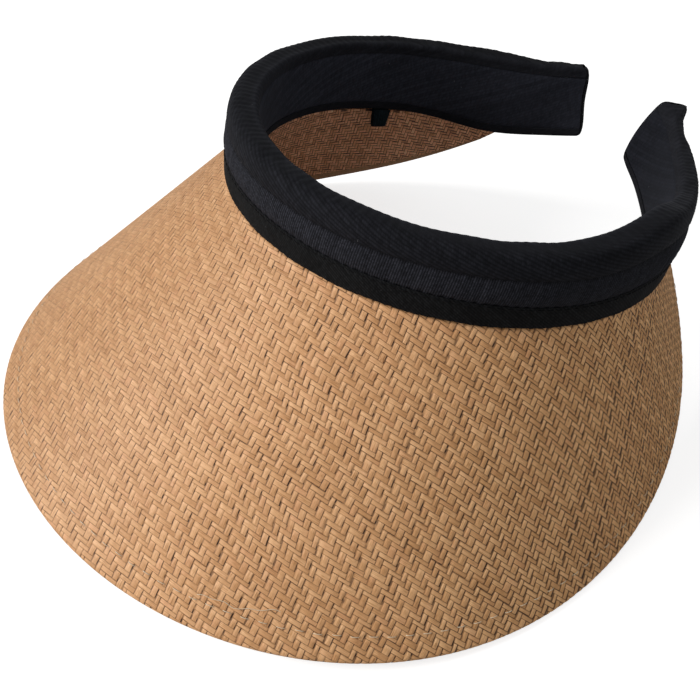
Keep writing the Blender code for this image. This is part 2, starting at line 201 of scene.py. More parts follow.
def pad_point(arc, out, up):
    """band_point with the padding's uneven shape."""
    share = np.clip(up / height(arc), 0, 1)
    stand = 0.0042 * np.exp(-((np.asarray(arc) - 0.55) / 0.09) ** 2) * share
    # the outer corner of the left end stands up
    corner = smooth(0.80, 1.0, arc) * share ** 2 * np.clip(1 + out / BAND_DEPTH, 0, 1)
    # near its end the right arm's head side hangs below its outer face
    inner = smooth(0.05, 0.70, -out / BAND_DEPTH)
    sag = 0.0036 * np.exp(-((np.asarray(arc) + 0.82) / 0.10) ** 2) * (1 - share) ** 2 * inner
    return band_point(arc, tip_warp(arc, out, up) - 0.0012 * corner,
                      up + stand + 0.0020 * corner - sag)


def crown(up, tall):
    return CROWN * np.sin(pi * np.clip(up / tall, 0, 1))


# The left arm's pivot, in the level frame, lands on its joint in the world.
PIVOT = band_point(np.array(FLEX_AT), np.array(SPRING_MID), np.array(height(FLEX_AT) / 2))
PIVOT[2] = 0.0
ROT = np.array([[1, 0, 0], [0, cos(TILT), -sin(TILT)], [0, sin(TILT), cos(TILT)]])
JOINT = next(np.array(j["pos_m"], float) for j in frame["joints"] if j["child"] == "left_arm")
SHIFT = JOINT - ROT @ PIVOT


def world(points):
    return np.asarray(points) @ ROT.T + SHIFT


# ---------------------------------------------------------------- brim surface


def brim_line(arc):
    """Root, direction and length of the straight line of the brim at arc."""
    wide = (arc / BRIM_REACH) ** 2
    turn = (heading(arc) - pi / 2 + np.radians(BRIM_FAN[0]) * arc
            + np.radians(BRIM_FAN[1]) * arc ** 3)
    slope = np.radians(series(BRIM_SLOPE, wide))
    length = (BRIM_LENGTH * (1 + wide * series(BRIM_TAPER, wide))
              * np.sqrt(np.maximum(1 - wide * wide, 0)))
    ray = np.stack([np.cos(turn) * np.cos(slope), np.sin(turn) * np.cos(slope),
                    -np.sin(slope)], -1)
    return band_point(arc, np.full_like(arc, 0.0003), np.full_like(arc, -0.0004)), ray, length


def brim_normal(arc, share):
    """The upward normal at a share of the line's length."""
    step = 2e-4
    start, start_ray, start_length = brim_line(arc - step)
    end, end_ray, end_length = brim_line(arc + step)
    across = ((end + end_ray * (end_length * share)[..., None])
              - (start + start_ray * (start_length * share)[..., None]))
    normal = np.cross(across, brim_line(arc)[1])
    normal /= np.linalg.norm(normal, axis=-1, keepdims=True)
    return np.where(normal[..., 2:] > 0, normal, -normal)


def place_flat(flat_a, flat_b, a, b, point, hand):
    """Lays point flat beside the segment a-b, on the side given by hand."""
    span = np.linalg.norm(b - a)
    line = (flat_b - flat_a) / span
    offset = point - a
    along = offset @ (b - a) / span
    rise = sqrt(max(offset @ offset - along * along, 0))
    return flat_a + line * along + hand * np.array([-line[1], line[0]]) * rise


def unroll(side):
    """The brim laid flat: where each straight line starts and which way it runs."""
    arc = np.linspace(0, BRIM_END + 0.002, 900)
    probe = 0.06
    start, ray, _ = brim_line(side * arc)
    far = start + ray * probe
    root, line = np.zeros(2), np.array([0.0, -1.0])
    roots, angles = [root], [atan2(line[1], line[0])]
    for i in range(len(arc) - 1):
        tip = root + line * probe
        root = place_flat(root, tip, start[i], far[i], start[i + 1], side)
        options = []
        for hand in (1, -1):
            reach = place_flat(root, tip, start[i + 1], far[i], far[i + 1], hand) - root
            options.append(reach / np.linalg.norm(reach))
        line = max(options, key=lambda option: option @ line)
        roots.append(root)
        angles.append(atan2(line[1], line[0]))
    return arc, np.array(roots), np.unwrap(np.array(angles))


FLAT = {side: unroll(side) for side in SIDES}

# Steps of the two straw directions in the flat brim, and slow waves that disturb them.
WARP_STEP = 2.18 * MM * np.array([cos(radians(11)), sin(radians(11))])
WEFT_STEP = 1.50 * MM * np.array([cos(radians(-71)), sin(radians(-71))])
LATTICE = np.linalg.inv(np.stack([WARP_STEP, WEFT_STEP], 1))
WAVES = [(RNG.uniform(0.03, 0.16), RNG.uniform(0, 6.28), RNG.uniform(0, 6.28))
         for _ in range(7)]
STRAW_WAVES = [(rate, RNG.uniform(0, 6.28)) for rate in (0.37, 0.61, 0.23, 0.83)]


def weave_coords(side, arc, dist):
    """Position in the weave at a distance along the straight line at arc."""
    flat_arc, roots, angles = FLAT[side]
    x, y = np.interp(arc, flat_arc, roots[:, 0]), np.interp(arc, flat_arc, roots[:, 1])
    angle = np.interp(arc, flat_arc, angles)
    flat = np.stack([x + np.cos(angle) * dist, y + np.sin(angle) * dist], -1)
    cells = flat @ LATTICE.T
    warp, weft = cells[..., 0].copy(), cells[..., 1].copy()
    for rate, one, two in WAVES:
        warp_wave = np.sin(rate * (warp * cos(one) + weft * sin(one)) * 2 + two)
        weft_wave = np.sin(rate * (weft * cos(two) - warp * sin(two)) * 2 + one)
        warp, weft = warp + 0.085 * warp_wave, weft + 0.085 * weft_wave
    warp0, weft0 = warp.copy(), weft.copy()
    for rate, phase in STRAW_WAVES:
        warp = warp + 0.06 * np.sin(2 * pi * rate * warp0 + phase)
        weft = weft + 0.06 * np.sin(2 * pi * rate * weft0 - phase)
    return warp, weft


def openness(arc):
    """The weave is looser towards the wearer's left; this share also sets how deep the painted
    shade in its gaps is.
    """
    return smooth(-0.30, 0.75, arc)


def strand_height(phase, across, cover):
    """A straw rising and dipping through the weave, falling off at its sides."""
    wave = np.sin(pi * phase / 2)
    return (0.145 * np.sign(wave) * np.abs(wave) ** 0.7
            - 0.110 * np.minimum(np.abs((2 * across - 1) / cover) ** 5, 2.0))


def weave_height(warp, weft, slack):
    """Height of the upper straw; slack from 0 to 1 opens the weave."""
    i, j = np.floor(warp), np.floor(weft)
    weft_straw = strand_height(warp - j, weft - j, 0.99 - 0.12 * slack)
    warp_straw = strand_height(weft - i + 3, warp - i, 0.88 - 0.18 * slack)
    return (np.maximum(weft_straw, warp_straw) - 0.05) * (0.50 + 0.72 * slack) * MM


def stitch_points(side):
    """Arcs where the rim stitching pierces the straw."""
    arc = np.linspace(0, BRIM_END - 0.012, 3000)
    start, ray, length = brim_line(side * arc)
    run = run_length(start + ray * (length - STITCH_INSET)[:, None])
    return np.interp(np.arange(STITCH_PITCH / 2, run[-1], STITCH_PITCH), run, arc)


# ---------------------------------------------------------------- mesh helpers


def new_mesh(name, verts, faces, attributes=None, sharp=None):
    """A smooth-shaded object; sharp(a, b) picks the sharp edges from their vertex numbers."""
    mesh = bpy.data.meshes.new(name)
    mesh.from_pydata(verts.tolist(), [], faces)
    mesh.update(calc_edges=True)
    mesh.shade_smooth()
    for key, value in (attributes or {}).items():
        kind, field = ("FLOAT_VECTOR", "vector") if value.ndim == 2 else ("FLOAT", "value")
        layer = mesh.attributes.new(key, kind, "POINT")
        layer.data.foreach_set(field, np.ascontiguousarray(value, np.float32).ravel())
    if sharp is not None:
        pairs = np.zeros(len(mesh.edges) * 2, np.int32)
        mesh.edges.foreach_get("vertices", pairs)
        flags = sharp(pairs[::2], pairs[1::2])
        layer = (mesh.attributes.get("sharp_edge")
                 or mesh.attributes.new("sharp_edge", "BOOLEAN", "EDGE"))
        layer.data.foreach_set("value", flags.astype(bool))
    obj = bpy.data.objects.new(name, mesh)
    bpy.context.scene.collection.objects.link(obj)
    return obj


def triple(a, b, c):
    return float(np.einsum("ij,ij->i", a, np.cross(b, c)).sum())


def sweep(name, sections, attributes=None, sharp_rows=()):
    """A closed solid: sections are closed loops of points, joined in order and capped."""
    K, J = sections.shape[:2]
    k, j = np.meshgrid(np.arange(K - 1), np.arange(J), indexing="ij")
    after = (j + 1) % J
    quads = np.stack([k * J + j, k * J + after, (k + 1) * J + after, (k + 1) * J + j], -1)
    quads = quads.reshape(-1, 4)
    verts = sections.reshape(-1, 3)
    local = verts - verts.mean(0)
    caps = [list(range(J - 1, -1, -1)), [(K - 1) * J + i for i in range(J)]]
    a, b, c, d = (local[quads[:, i]] for i in range(4))
    volume = triple(a, b, c) + triple(a, c, d)
    for cap in caps:
        rim = local[cap]
        volume += triple(np.broadcast_to(rim[0], rim[1:-1].shape), rim[1:-1], rim[2:])
    if volume < 0:
        quads = quads[:, ::-1]
        caps = [cap[::-1] for cap in caps]

    def sharp(a, b):
        ring = (a // J == b // J) & ((a // J == 0) | (a // J == K - 1))
        lengthways = (a % J == b % J) & np.isin(a % J, list(sharp_rows))
        return ring | lengthways

    flat = {key: value.reshape(len(verts), -1) if value.ndim == 3 else value.reshape(-1)
            for key, value in (attributes or {}).items()}
    return new_mesh(name, verts, quads.tolist() + caps, flat, sharp)


def tube(path, radius):
    """Vertices and faces of a round thread along path, pointed at both ends."""
    around = 8
    ahead = np.gradient(path, axis=0)
    ahead /= np.linalg.norm(ahead, axis=1, keepdims=True)
    one = np.cross(ahead, np.array([0.3, 0.2, 0.93]))
    one /= np.linalg.norm(one, axis=1, keepdims=True)
    two = np.cross(ahead, one)
    angle = np.linspace(0, 2 * pi, around, endpoint=False)[None, :, None]
    rings = path[:, None] + radius * (np.cos(angle) * one[:, None] + np.sin(angle) * two[:, None])
    verts = np.concatenate([rings.reshape(-1, 3), path[:1] - ahead[:1] * radius * 0.6,
                            path[-1:] + ahead[-1:] * radius * 0.6])
    faces = []
    count = len(path)
    for k in range(count - 1):
        low, high = k * around, (k + 1) * around
        for j in range(around):
            m = (j + 1) % around
            faces.append((low + j, high + j, high + m, low + m))
    last = (count - 1) * around
    for j in range(around):
        m = (j + 1) % around
        faces.append((j, m, count * around))
        faces.append((last + m, last + j, count * around + 1))
    return verts, faces


def join_tubes(name, tubes):
    faces, base = [], 0
    for verts, tube_faces in tubes:
        faces += [tuple(i + base for i in face) for face in tube_faces]
        base += len(verts)
    # the first tube's volume tells whether the faces point outwards
    verts, tube_faces = tubes[0]
    corners = verts[np.array([face[:3] for face in tube_faces if len(face) == 4])]
    a, b, c = (corners[:, i] for i in range(3))
    if triple(a - verts.mean(0), b - a, c - a) < 0:
        faces = [face[::-1] for face in faces]
    return new_mesh(name, np.concatenate([verts for verts, _ in tubes]), faces)


# ---------------------------------------------------------------- node materials


def operation(kind, swapped=False):
    def apply(self, *others):
        values = (*others, self) if swapped else (self, *others)
        return self.net.math(kind, *values)
    return apply


class Value:
    """A node's output that can be used in arithmetic."""

    def __init__(self, net, out):
        self.net, self.out = net, out

    __add__ = operation("ADD")
    __radd__ = operation("ADD", swapped=True)
    __sub__ = operation("SUBTRACT")
    __rsub__ = operation("SUBTRACT", swapped=True)
    __mul__ = operation("MULTIPLY")
    __rmul__ = operation("MULTIPLY", swapped=True)
    __truediv__ = operation("DIVIDE")
    floor = operation("FLOOR")
    abs = operation("ABSOLUTE")
    mod = operation("FLOORED_MODULO")
    less = operation("LESS_THAN")
    power = operation("POWER")
    cos = operation("COSINE")

    def step(self, low, high):
        return self.net.node("ShaderNodeMapRange",
                             {"Value": self, "From Min": low, "From Max": high},
                             out="Result", interpolation_type="SMOOTHSTEP")


class Net:
    """A material's node tree; each method adds a node and returns its output."""

    def __init__(self, name):
        self.mat = bpy.data.materials.new(name)
        self.mat.use_nodes = True
        self.tree = self.mat.node_tree
        self.tree.nodes.clear()

    def put(self, socket, value):
        if isinstance(value, Value):
            self.tree.links.new(value.out, socket)
        elif isinstance(value, tuple) and len(socket.default_value) == 4:
            socket.default_value = (*value, 1.0)
        else:
            socket.default_value = value

    def node(self, kind, inputs=None, out=0, **settings):
        made = self.tree.nodes.new(kind)
        for key, value in settings.items():
            setattr(made, key, value)
        for key, value in (inputs or {}).items():
            self.put(made.inputs[key], value)
        return Value(self, made.outputs[out])

    def math(self, kind, *values):
        return self.node("ShaderNodeMath", dict(enumerate(values)), operation=kind)

    def attribute(self, name):
        vector = self.node("ShaderNodeAttribute", out="Vector", attribute_name=name)
        parts = self.node("ShaderNodeSeparateXYZ", {0: vector})
        return [Value(self, out) for out in parts.out.node.outputs]

    def object_coords(self):
        return self.node("ShaderNodeTexCoord", out="Object")

    def vector(self, x, y, z):
        return self.node("ShaderNodeCombineXYZ", {0: x, 1: y, 2: z})

    def white(self, x, y, z):
        return self.node("ShaderNodeTexWhiteNoise", {"Vector": self.vector(x, y, z)},
                         out="Value", noise_dimensions="3D")

    def noise(self, coords, scale=1.0, detail=2.0, rough=0.5):
        return self.node("ShaderNodeTexNoise", {"Vector": coords, "Scale": scale,
                                                "Detail": detail, "Roughness": rough}, out="Fac")

    def mix(self, fac, a, b):
        return self.node("ShaderNodeMix", {0: fac, 6: a, 7: b}, out=2, data_type="RGBA")

    def pick(self, fac, a, b):
        """a where fac is 0, b where it is 1."""
        return self.node("ShaderNodeMix", {0: fac, 2: a, 3: b}, data_type="FLOAT")

    def scaled(self, base, level):
        """A fixed colour, held in a mix node, times level."""
        return self.node("ShaderNodeVectorMath", {0: self.mix(0.0, base, base), "Scale": level},
                         operation="SCALE")

    def times(self, a, b):
        return self.node("ShaderNodeVectorMath", {0: a, 1: b}, operation="MULTIPLY")

    def bump(self, relief, strength, distance):
        return self.node("ShaderNodeBump",
                         {"Height": relief, "Strength": strength, "Distance": distance})

    def principled(self, **inputs):
        return self.node("ShaderNodeBsdfPrincipled",
                         {key.replace("_", " "): value for key, value in inputs.items()})

    def finish(self, shader):
        made = self.tree.nodes.new("ShaderNodeOutputMaterial")
        self.put(made.inputs[0], shader)
        self.mat.diffuse_color = (0.5, 0.5, 0.5, 1)
        return self.mat


def straw_material(name, light, mid, dark, gap, depth, shine, shade=1.0):
    """Twill-woven flat paper straws. The weave attribute holds the position in the weave
    and the painted shade of the stitch holes; depth deepens the painted shade at the straws'
    edges and ends."""
    net = Net(name)
    # which straw is on top here, and the position across and along it
    warp, weft, hole = net.attribute("weave")
    i, j = warp.floor(), weft.floor()
    in_warp, in_weft = warp - i, weft - j
    cell = (i - j + 0.5).mod(4.0).floor()
    weft_up = cell.less(1.5)
    across = net.pick(weft_up, in_warp, in_weft)
    along = net.pick(weft_up, weft, warp)
    ident = net.pick(weft_up, i + 517.3, j)
    on_top = net.pick(weft_up, (3.0 - cell + in_weft) / 2.0, (cell + in_warp) / 2.0)
    slack = net.attribute("open")[0]
    cover = net.pick(weft_up, 0.88 - 0.20 * slack, 0.99 - 0.14 * slack)
    off_mid = (across * 2.0 - 1.0).abs() / cover
    to_end = (on_top * 2.0 - 1.0).abs()
    # tones of whole straws and of lengths of straw; the offsets keep the noises apart
    tone = net.white(ident, 3.7, 0.0)
    slow_tone = net.noise(net.vector(ident * 5.1, along * 0.23, 1.7), detail=1.0)
    float_tone = net.white(ident, (along * 0.25).floor(), 9.0)
    fibre = net.noise(net.vector(along * 0.9, off_mid * 4.2 + ident * 7.0, ident * 1.3),
                      detail=3.0, rough=0.7)
    fold = net.noise(net.vector(along * 0.35, off_mid * 1.1 + ident * 3.0, ident * 2.1),
                     detail=1.0)
    broad = net.noise(net.object_coords(), scale=22.0)
    warm = tuple(c * factor for c, factor in zip(light, (1.02, 0.90, 0.98)))
    colour = net.mix(tone.step(0.15, 0.85), mid, light)
    colour = net.mix(float_tone.step(0.72, 1.0) * (0.32 + 0.35 * slack), colour, dark)
    colour = net.mix(slow_tone.step(0.5, 0.8) * 0.35, colour, warm)
    # brightness: fibres and broad patches, then painted shade and highlight at the creases, straw
    # edges and float ends
    level = ((0.60 + 0.84 * fibre) * (0.93 + 0.14 * broad)
             * (1.0 + 0.18 * slack * (tone - 0.5)) * shade)
    crease = net.noise(net.vector(along * 0.30, off_mid * 2.6 + ident * 11.0, ident * 0.7),
                       rough=0.7)
    # painted shade in the creases and painted highlight beside them
    level = level * (1.0 - 0.34 * crease.step(0.57, 0.70))
    level = level * (1.0 + 0.20 * crease.step(0.42, 0.28))
    # painted shade at the straws' edges and where each float dives under the next
    level = level * (1.0 - (0.07 * depth) * off_mid.step(0.70, 1.0) * (1.0 + slack))
    level = level * (1.0 - (0.12 * depth) * to_end.step(0.80, 1.0) * (1.0 + 0.7 * slack))
    # painted highlight on the end of each float that faces the light
    level = level * (1.0 + 0.16 * (1.0 - on_top.step(0.0, 0.5)))
    # darker places, the painted shade among them, go richer as well as darker
    colour = net.times(colour, net.vector(level, level.power(1.30), level.power(1.75)))
    # painted light: the straw is painted darker and bluer on the lit right side, lighter towards
    # the shaded left, and less blue towards the left end
    even = 0.80 + 0.24 * slack.step(0.0, 0.40) - 0.05 * slack.step(0.70, 1.0)
    painted_side_blue = even * (1.08 - 0.14 * slack.step(0.40, 1.0))
    colour = net.times(colour, net.vector(even, even, painted_side_blue))
    # painted shade in the gaps beside the straws and at their ends: darkest on each straw's
    # shadow side, and deeper with the slack towards the shaded left
    wander = net.noise(net.vector(along * 0.8, ident * 3.3, 4.0), detail=1.0)
    shadow_side = (across * 2.0 - 1.0).step(-0.2, 0.4)
    ends = to_end.step(0.93, 1.0) * (0.2 * slack + wander.step(0.42, 0.60)) * 0.8
    clear = 0.20 + 0.28 * slack + 0.48 * slack.step(0.55, 0.90)
    gap_shade = (off_mid.step(0.92, 1.01) * net.pick(shadow_side, 0.50 + 0.35 * slack, 1.0)
              * (clear + (1.0 - clear) * wander.step(0.36, 0.58)))
    gap_shade = net.math("MAXIMUM", gap_shade, ends)
    colour = net.mix(gap_shade, colour, gap)
    # painted shade in the stitch holes
    colour = net.mix(hole, colour, (0.045, 0.018, 0.008))
    relief = ((1.0 - off_mid * off_mid) * 0.35 + fibre * 0.40 + fold * 0.30 + crease * 0.35
              - gap_shade * 0.6)
    return net.finish(net.principled(
        Base_Color=colour, Roughness=0.44 + 0.20 * fibre, Specular_IOR_Level=shine,
        Normal=net.bump(relief, strength=0.7, distance=0.00018)))


def cloth_material(name, base, contrast=1.0, sheen=0.05, relief=0.00010, fuzz=1.0):
    """Woven tape. The cloth attribute holds ribs across, yarns along and a tone, which also holds
    painted light and shade; the soft attribute flattens the weave, and fuzz is the amount of
    lint."""
    net = Net(name)
    ribs, yarns, tone = net.attribute("cloth")
    soft = net.attribute("soft")[0]
    rib_id = (ribs + 0.5).floor()
    rib = (ribs * (2 * pi)).cos() * 0.5 + 0.5
    shifted = yarns + rib_id * 0.37     # each rib's yarns are out of step with the last
    yarn = (shifted * (2 * pi)).cos() * 0.5 + 0.5
    grain = net.pick(soft * 0.6, net.white(rib_id, (shifted + 0.5).floor(), 2.0), 0.5)
    thread = net.white(rib_id, 5.0, 0.0)
    coords = net.object_coords()
    patch = net.noise(coords, scale=60.0, detail=3.0)
    fibres = net.noise(coords, scale=2600.0, rough=0.7)
    high = rib.power(0.8) * (0.62 + 0.38 * yarn)
    high = net.pick(soft, high, 0.36 + 0.10 * high)
    # brightness: the weave, its ridges painted lighter and hollows darker as painted light and
    # shade, its grains and threads, then wear and fibres
    level = (0.42 + 1.15 * contrast * high) * (0.62 + 0.66 * grain) * (0.86 + 0.28 * thread)
    level = level * (0.78 + 0.44 * patch) * (0.68 + 0.64 * fibres) * tone
    lint = (net.noise(coords, scale=900.0, detail=1.0).step(0.775, 0.80)
            * net.noise(coords, scale=140.0, detail=1.0).step(0.60, 0.66))
    colour = net.mix(lint * (0.75 * fuzz), net.scaled(base, level), (0.16, 0.16, 0.17))
    return net.finish(net.principled(
        Base_Color=colour, Roughness=0.82, Specular_IOR_Level=0.07,
        Sheen_Weight=sheen, Sheen_Roughness=0.45, Sheen_Tint=(0.70, 0.74, 0.85),
        Normal=net.bump(high * 0.8 + fibres * 0.35, strength=0.8, distance=relief)))


def plain_material(name, base, rough, mottling, scale, relief=0.00004, **extra):
    """Sheet, foam, thread and plastic: fine mottling and pitting in one colour."""
    net = Net(name)
    coords = net.object_coords()
    fine = net.noise(coords, scale=scale, detail=3.0, rough=0.6)
    broad = net.noise(coords, scale=scale / 12)
    level = (1 - mottling) + 2 * mottling * (0.6 * fine + 0.4 * broad)
    return net.finish(net.principled(
        Base_Color=net.scaled(base, level), Roughness=rough + 0.1 * (fine - 0.5),
        Normal=net.bump(fine, strength=0.6, distance=relief), **extra))


# Each material is also the name of the slot its pieces fill.
RECIPES = {
    "straw_sheet": (straw_material, dict(
        light=(0.730, 0.400, 0.176), mid=(0.660, 0.345, 0.144), dark=(0.548, 0.272, 0.102),
        # the gap colour is the painted shade seen in the gaps between the straws
        gap=(0.044, 0.016, 0.006), depth=1.0, shine=0.38)),
    # the underside is the same straw painted paler, as painted fill light, and with deeper
    # painted shade at the straw edges and ends
    "straw_underside": (straw_material, dict(
        light=(1.00, 0.520, 0.285), mid=(0.86, 0.425, 0.226), dark=(0.58, 0.270, 0.128),
        gap=(0.022, 0.008, 0.004), depth=2.4, shine=0.5)),
    "tape_cover": (cloth_material, dict(base=(0.0118, 0.0123, 0.0158), sheen=0.035)),
    "hem_tape": (cloth_material, dict(
        base=(0.0122, 0.0127, 0.0136), contrast=0.6, sheen=0.015, relief=0.00007)),
    "lining_tape": (cloth_material, dict(
        base=(0.0255, 0.0276, 0.0382), contrast=0.35, sheen=0.045, relief=0.00005)),
    "loop_tape": (cloth_material, dict(
        base=(0.0060, 0.0115, 0.0145), sheen=0.03, relief=0.00008, fuzz=0.0)),
    "foam_pad": (plain_material, dict(
        base=(0.060, 0.060, 0.062), rough=0.95, mottling=0.35, scale=900.0, relief=0.0003)),
    "spring_strip": (plain_material, dict(
        base=(0.72, 0.74, 0.75), rough=0.35, mottling=0.05, scale=120.0)),
    "stiffener_sheet": (plain_material, dict(
        base=(0.70, 0.66, 0.56), rough=0.55, mottling=0.10, scale=160.0)),
    "hem_thread": (plain_material, dict(
        base=(0.0060, 0.0062, 0.0070), rough=0.70, mottling=0.30, scale=4000.0,
        relief=0.00003, Specular_IOR_Level=0.10)),
    "rim_thread": (plain_material, dict(
        base=(0.86, 0.72, 0.52), rough=0.25, mottling=0.10, scale=3000.0,
        relief=0.00001, Transmission_Weight=0.12, Specular_IOR_Level=0.6)),
}
MATERIALS = {name: make(name, **settings) for name, (make, settings) in RECIPES.items()}

# ---------------------------------------------------------------- how pieces follow the arms


def flex(obj, side):
    """Bakes the piece's placement into its mesh; the ends of the sprung stretch are worked out
    but not used.
    """
    along = np.array([side * sin(FLEX_HEADING), cos(FLEX_HEADING), 0])
    pivot = PIVOT * np.array([side, 1, 1])
    start, end = world(pivot - FLEX_REACH * along), world(pivot + FLEX_REACH * along)
    tuple(start)
    tuple(end)
    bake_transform(obj)


def finish_piece(obj, slot, side, nodes, body=None):
    obj.data.materials.append(MATERIALS[slot])
    if body:
        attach(obj, body)
    else:
        flex(obj, side)
    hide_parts(*nodes)


def settle(points):
    """Keeps the rim on the plane the visor rests on."""
    points = points.copy()
    points[..., 2] = np.maximum(points[..., 2], 0.00002)
    return points


# ---------------------------------------------------------------- brim


def row(kind, value, depth=0.0, lift=0, beyond=0.0):
    """A row along the brim. Kind says what value is: a distance "inside" the band or from
    the "root", a "share" of the line, or an inset from the "rim". Depth is below the upper
    face, lift is the part of the weave's height added, beyond shifts the weave outwards."""
    return kind, value, depth, lift, beyond


def fold_size(length):
    return np.minimum(1.0, length / SHORT_LINE)


def brim_rows(side, arc, rows):
    """Points and weave positions of rows at the unsigned arcs given."""
    signed = side * arc
    start, ray, length = brim_line(signed)
    _, up_dir, out_dir = axes(signed)
    root_normal = brim_normal(signed, np.zeros_like(signed))
    mitre = (up_dir + root_normal) / (1 + (up_dir * root_normal).sum(-1, keepdims=True))
    fold = fold_size(length)
    points, weave = [], []
    for kind, value, depth, lift, beyond in rows:
        dist = {"inside": -value, "root": value, "share": length * value,
                "rim": length - value * fold}[kind]
        dist = np.broadcast_to(np.asarray(dist, float), arc.shape)
        warp, weft = weave_coords(side, arc, dist + beyond)
        rise = lift * weave_height(warp, weft, openness(signed))
        if kind == "inside":
            points.append(start - value * out_dir + (rise - depth)[:, None] * up_dir)
        else:
            normal = brim_normal(signed, np.clip(dist / length, 0, 1))
            near = smooth(0.0, 0.0022, dist)[:, None]
            normal = normal * near + mitre * (1 - near)
            # a slight lip in the upper face beside the band
            lip = (0.00042 * np.exp(-((dist - 0.0010) / 0.0009) ** 2)
                   * (depth < 0.0003) * abs(lift))
            points.append(start + ray * dist[:, None] + (rise + lip - depth)[:, None] * normal)
        weave.append(np.stack([warp, weft], -1))
    return np.stack(points, 1), np.stack(weave, 1)


def columns(first, last, pitch):
    """Arcs from first to last, evenly spaced along the middle of the brim."""
    arc = np.linspace(0, BRIM_END, 2400)
    start, ray, length = brim_line(arc)
    run = run_length(start + ray * (length * 0.6)[:, None])
    begin, end = np.interp([first, last], arc, run)
    count = max(8, int(round((end - begin) / pitch)))
    return np.interp(np.linspace(begin, end, count + 1), run, arc)


def pierce(side, arc, points, hole, top):
    """The stitches pull the straw down a little, and every other one gets a hole painted in dark
    as painted shade.
    """
    stitches = stitch_points(side)
    stitches = stitches[(stitches > arc[0] - 0.01) & (stitches < arc[-1] + 0.01)]
    start, ray, length = brim_line(side * stitches)
    spots = start + ray * (length - STITCH_INSET)[:, None]
    for n, spot in enumerate(spots):
        close = np.abs(arc - stitches[n]) < 0.014
        if not close.any():
            continue
        block = points[close, top]
        away = np.linalg.norm(block - spot, axis=-1)
        block[..., 2] -= 0.00018 * np.exp(-(away / 0.0009) ** 2)
        points[close, top] = block
        hole[close, top] = np.maximum(hole[close, top],
                                      0.45 * np.exp(-(away / 0.00042) ** 2) * (n % 2))


def straw_sheet(side, part, name):
    """The upper straw, wrapped round the rim and turned under."""
    arc = columns(SPLITS[part], SPLITS[part + 1], 0.50 * MM)
    rows = [row("inside", d, lift=1) for d in (0.0040, 0.0030, 0.0020, 0.0010, 0.0003)]
    face_start = len(rows)
    rows += [row("root", d * MM, lift=1) for d in (0.0, 0.35, 0.7, 1.05, 1.4, 1.75, 2.1)]
    length = brim_line(side * arc)[2]
    body = length - RIM_RADIUS * fold_size(length) - 0.0021
    rows += [row("root", 0.0021 + body * t, lift=1) for t in np.linspace(0, 1, 300)[1:]]
    # beyond is the straw's length round the rim, so the weave follows it
    rim_start = len(rows)
    for t in np.linspace(0, pi, 12)[1:-1]:
        inset = RIM_RADIUS * (1 - sin(t))
        rows.append(row("rim", inset, RIM_RADIUS * (1 - cos(t)), 0.8,
                        RIM_RADIUS * t - (RIM_RADIUS - inset)))
    for n, inset in enumerate(np.linspace(RIM_RADIUS, RIM_FOLD, 18)):
        rows.append(row("rim", inset, BRIM_DEPTH, -1 if n else 0.8,
                        RIM_RADIUS * pi - RIM_RADIUS + inset * 2))
    turn = len(rows)
    rows += [row("rim", d, BRIM_DEPTH - STRAW) for d in (RIM_FOLD, 0.006, 0.0035, 0.0019)]
    rows += [row("rim", 0.0012, BRIM_DEPTH - STRAW - 0.0004),
             row("rim", 0.0012, STRAW + 0.0004), row("rim", 0.0020, STRAW)]
    rows += [row("share", t, STRAW) for t in np.linspace(0.96, 0.03, 22)]
    rows += [row("root", 0.0, STRAW), row("inside", 0.0040, STRAW)]
    points, weave = brim_rows(side, arc, rows)
    hole = np.zeros(points.shape[:2])
    pierce(side, arc, points, hole, slice(face_start, rim_start))
    attributes = {"weave": np.concatenate([weave, hole[..., None]], -1),
                  "open": np.repeat(openness(side * arc)[:, None], len(rows), 1)}
    return sweep(name, settle(world(points)), attributes, sharp_rows=(turn - 1, turn))


def underside_sheet(side, part, name):
    """The lower straw, ending inside the turned rim."""
    arc = columns(SPLITS[part], SPLITS[part + 1], 0.62 * MM)
    top = STRAW + GAP + STIFFENER + GAP
    low = top + STRAW
    length = brim_line(side * arc)[2]
    body = length - (RIM_FOLD + GAP) * fold_size(length)
    rows = [row("inside", 0.0040, low, -1), row("inside", 0.0020, low, -1)]
    rows += [row("root", body * t, low, -1) for t in np.linspace(0, 1, 210)]
    turn = len(rows)
    rows += [row("root", body * t, top) for t in np.linspace(1, 0, 20)]
    rows.append(row("inside", 0.0040, top))
    points, weave = brim_rows(side, arc, rows)
    # the slack is held high here, which deepens the painted shade in the gaps
    attributes = {"weave": np.concatenate([weave, np.zeros((*weave.shape[:2], 1))], -1),
                  "open": np.full(points.shape[:2], 0.85)}
    return sweep(name, settle(world(points)), attributes,
                 sharp_rows=(turn - 1, turn, 0, len(rows) - 1))


def stiffener_sheet(side, name):
    arc = columns(0.0, BRIM_END - 0.003, 1.6 * MM)
    top, steps = STRAW + GAP, 24
    low = top + STIFFENER
    length = brim_line(side * arc)[2]
    body = length - (STRAW + GAP + 0.0004) * fold_size(length)
    rows = [row("inside", 0.0038, top)]
    rows += [row("root", body * t, top) for t in np.linspace(0, 1, steps)]
    rows += [row("root", body * t, low) for t in np.linspace(1, 0, steps)]
    rows.append(row("inside", 0.0038, low))
    points, _ = brim_rows(side, arc, rows)
    return sweep(name, settle(world(points)), sharp_rows=(steps, steps + 1))


def rim_thread(arc, inset, share, rise, radius):
    """A thread at an inset from the rim, rise above the straw."""
    start, ray, length = brim_line(arc)
    normal = brim_normal(arc, share(length))
    return tube(world(start + ray * (length - inset)[:, None] + normal * rise[:, None]), radius)


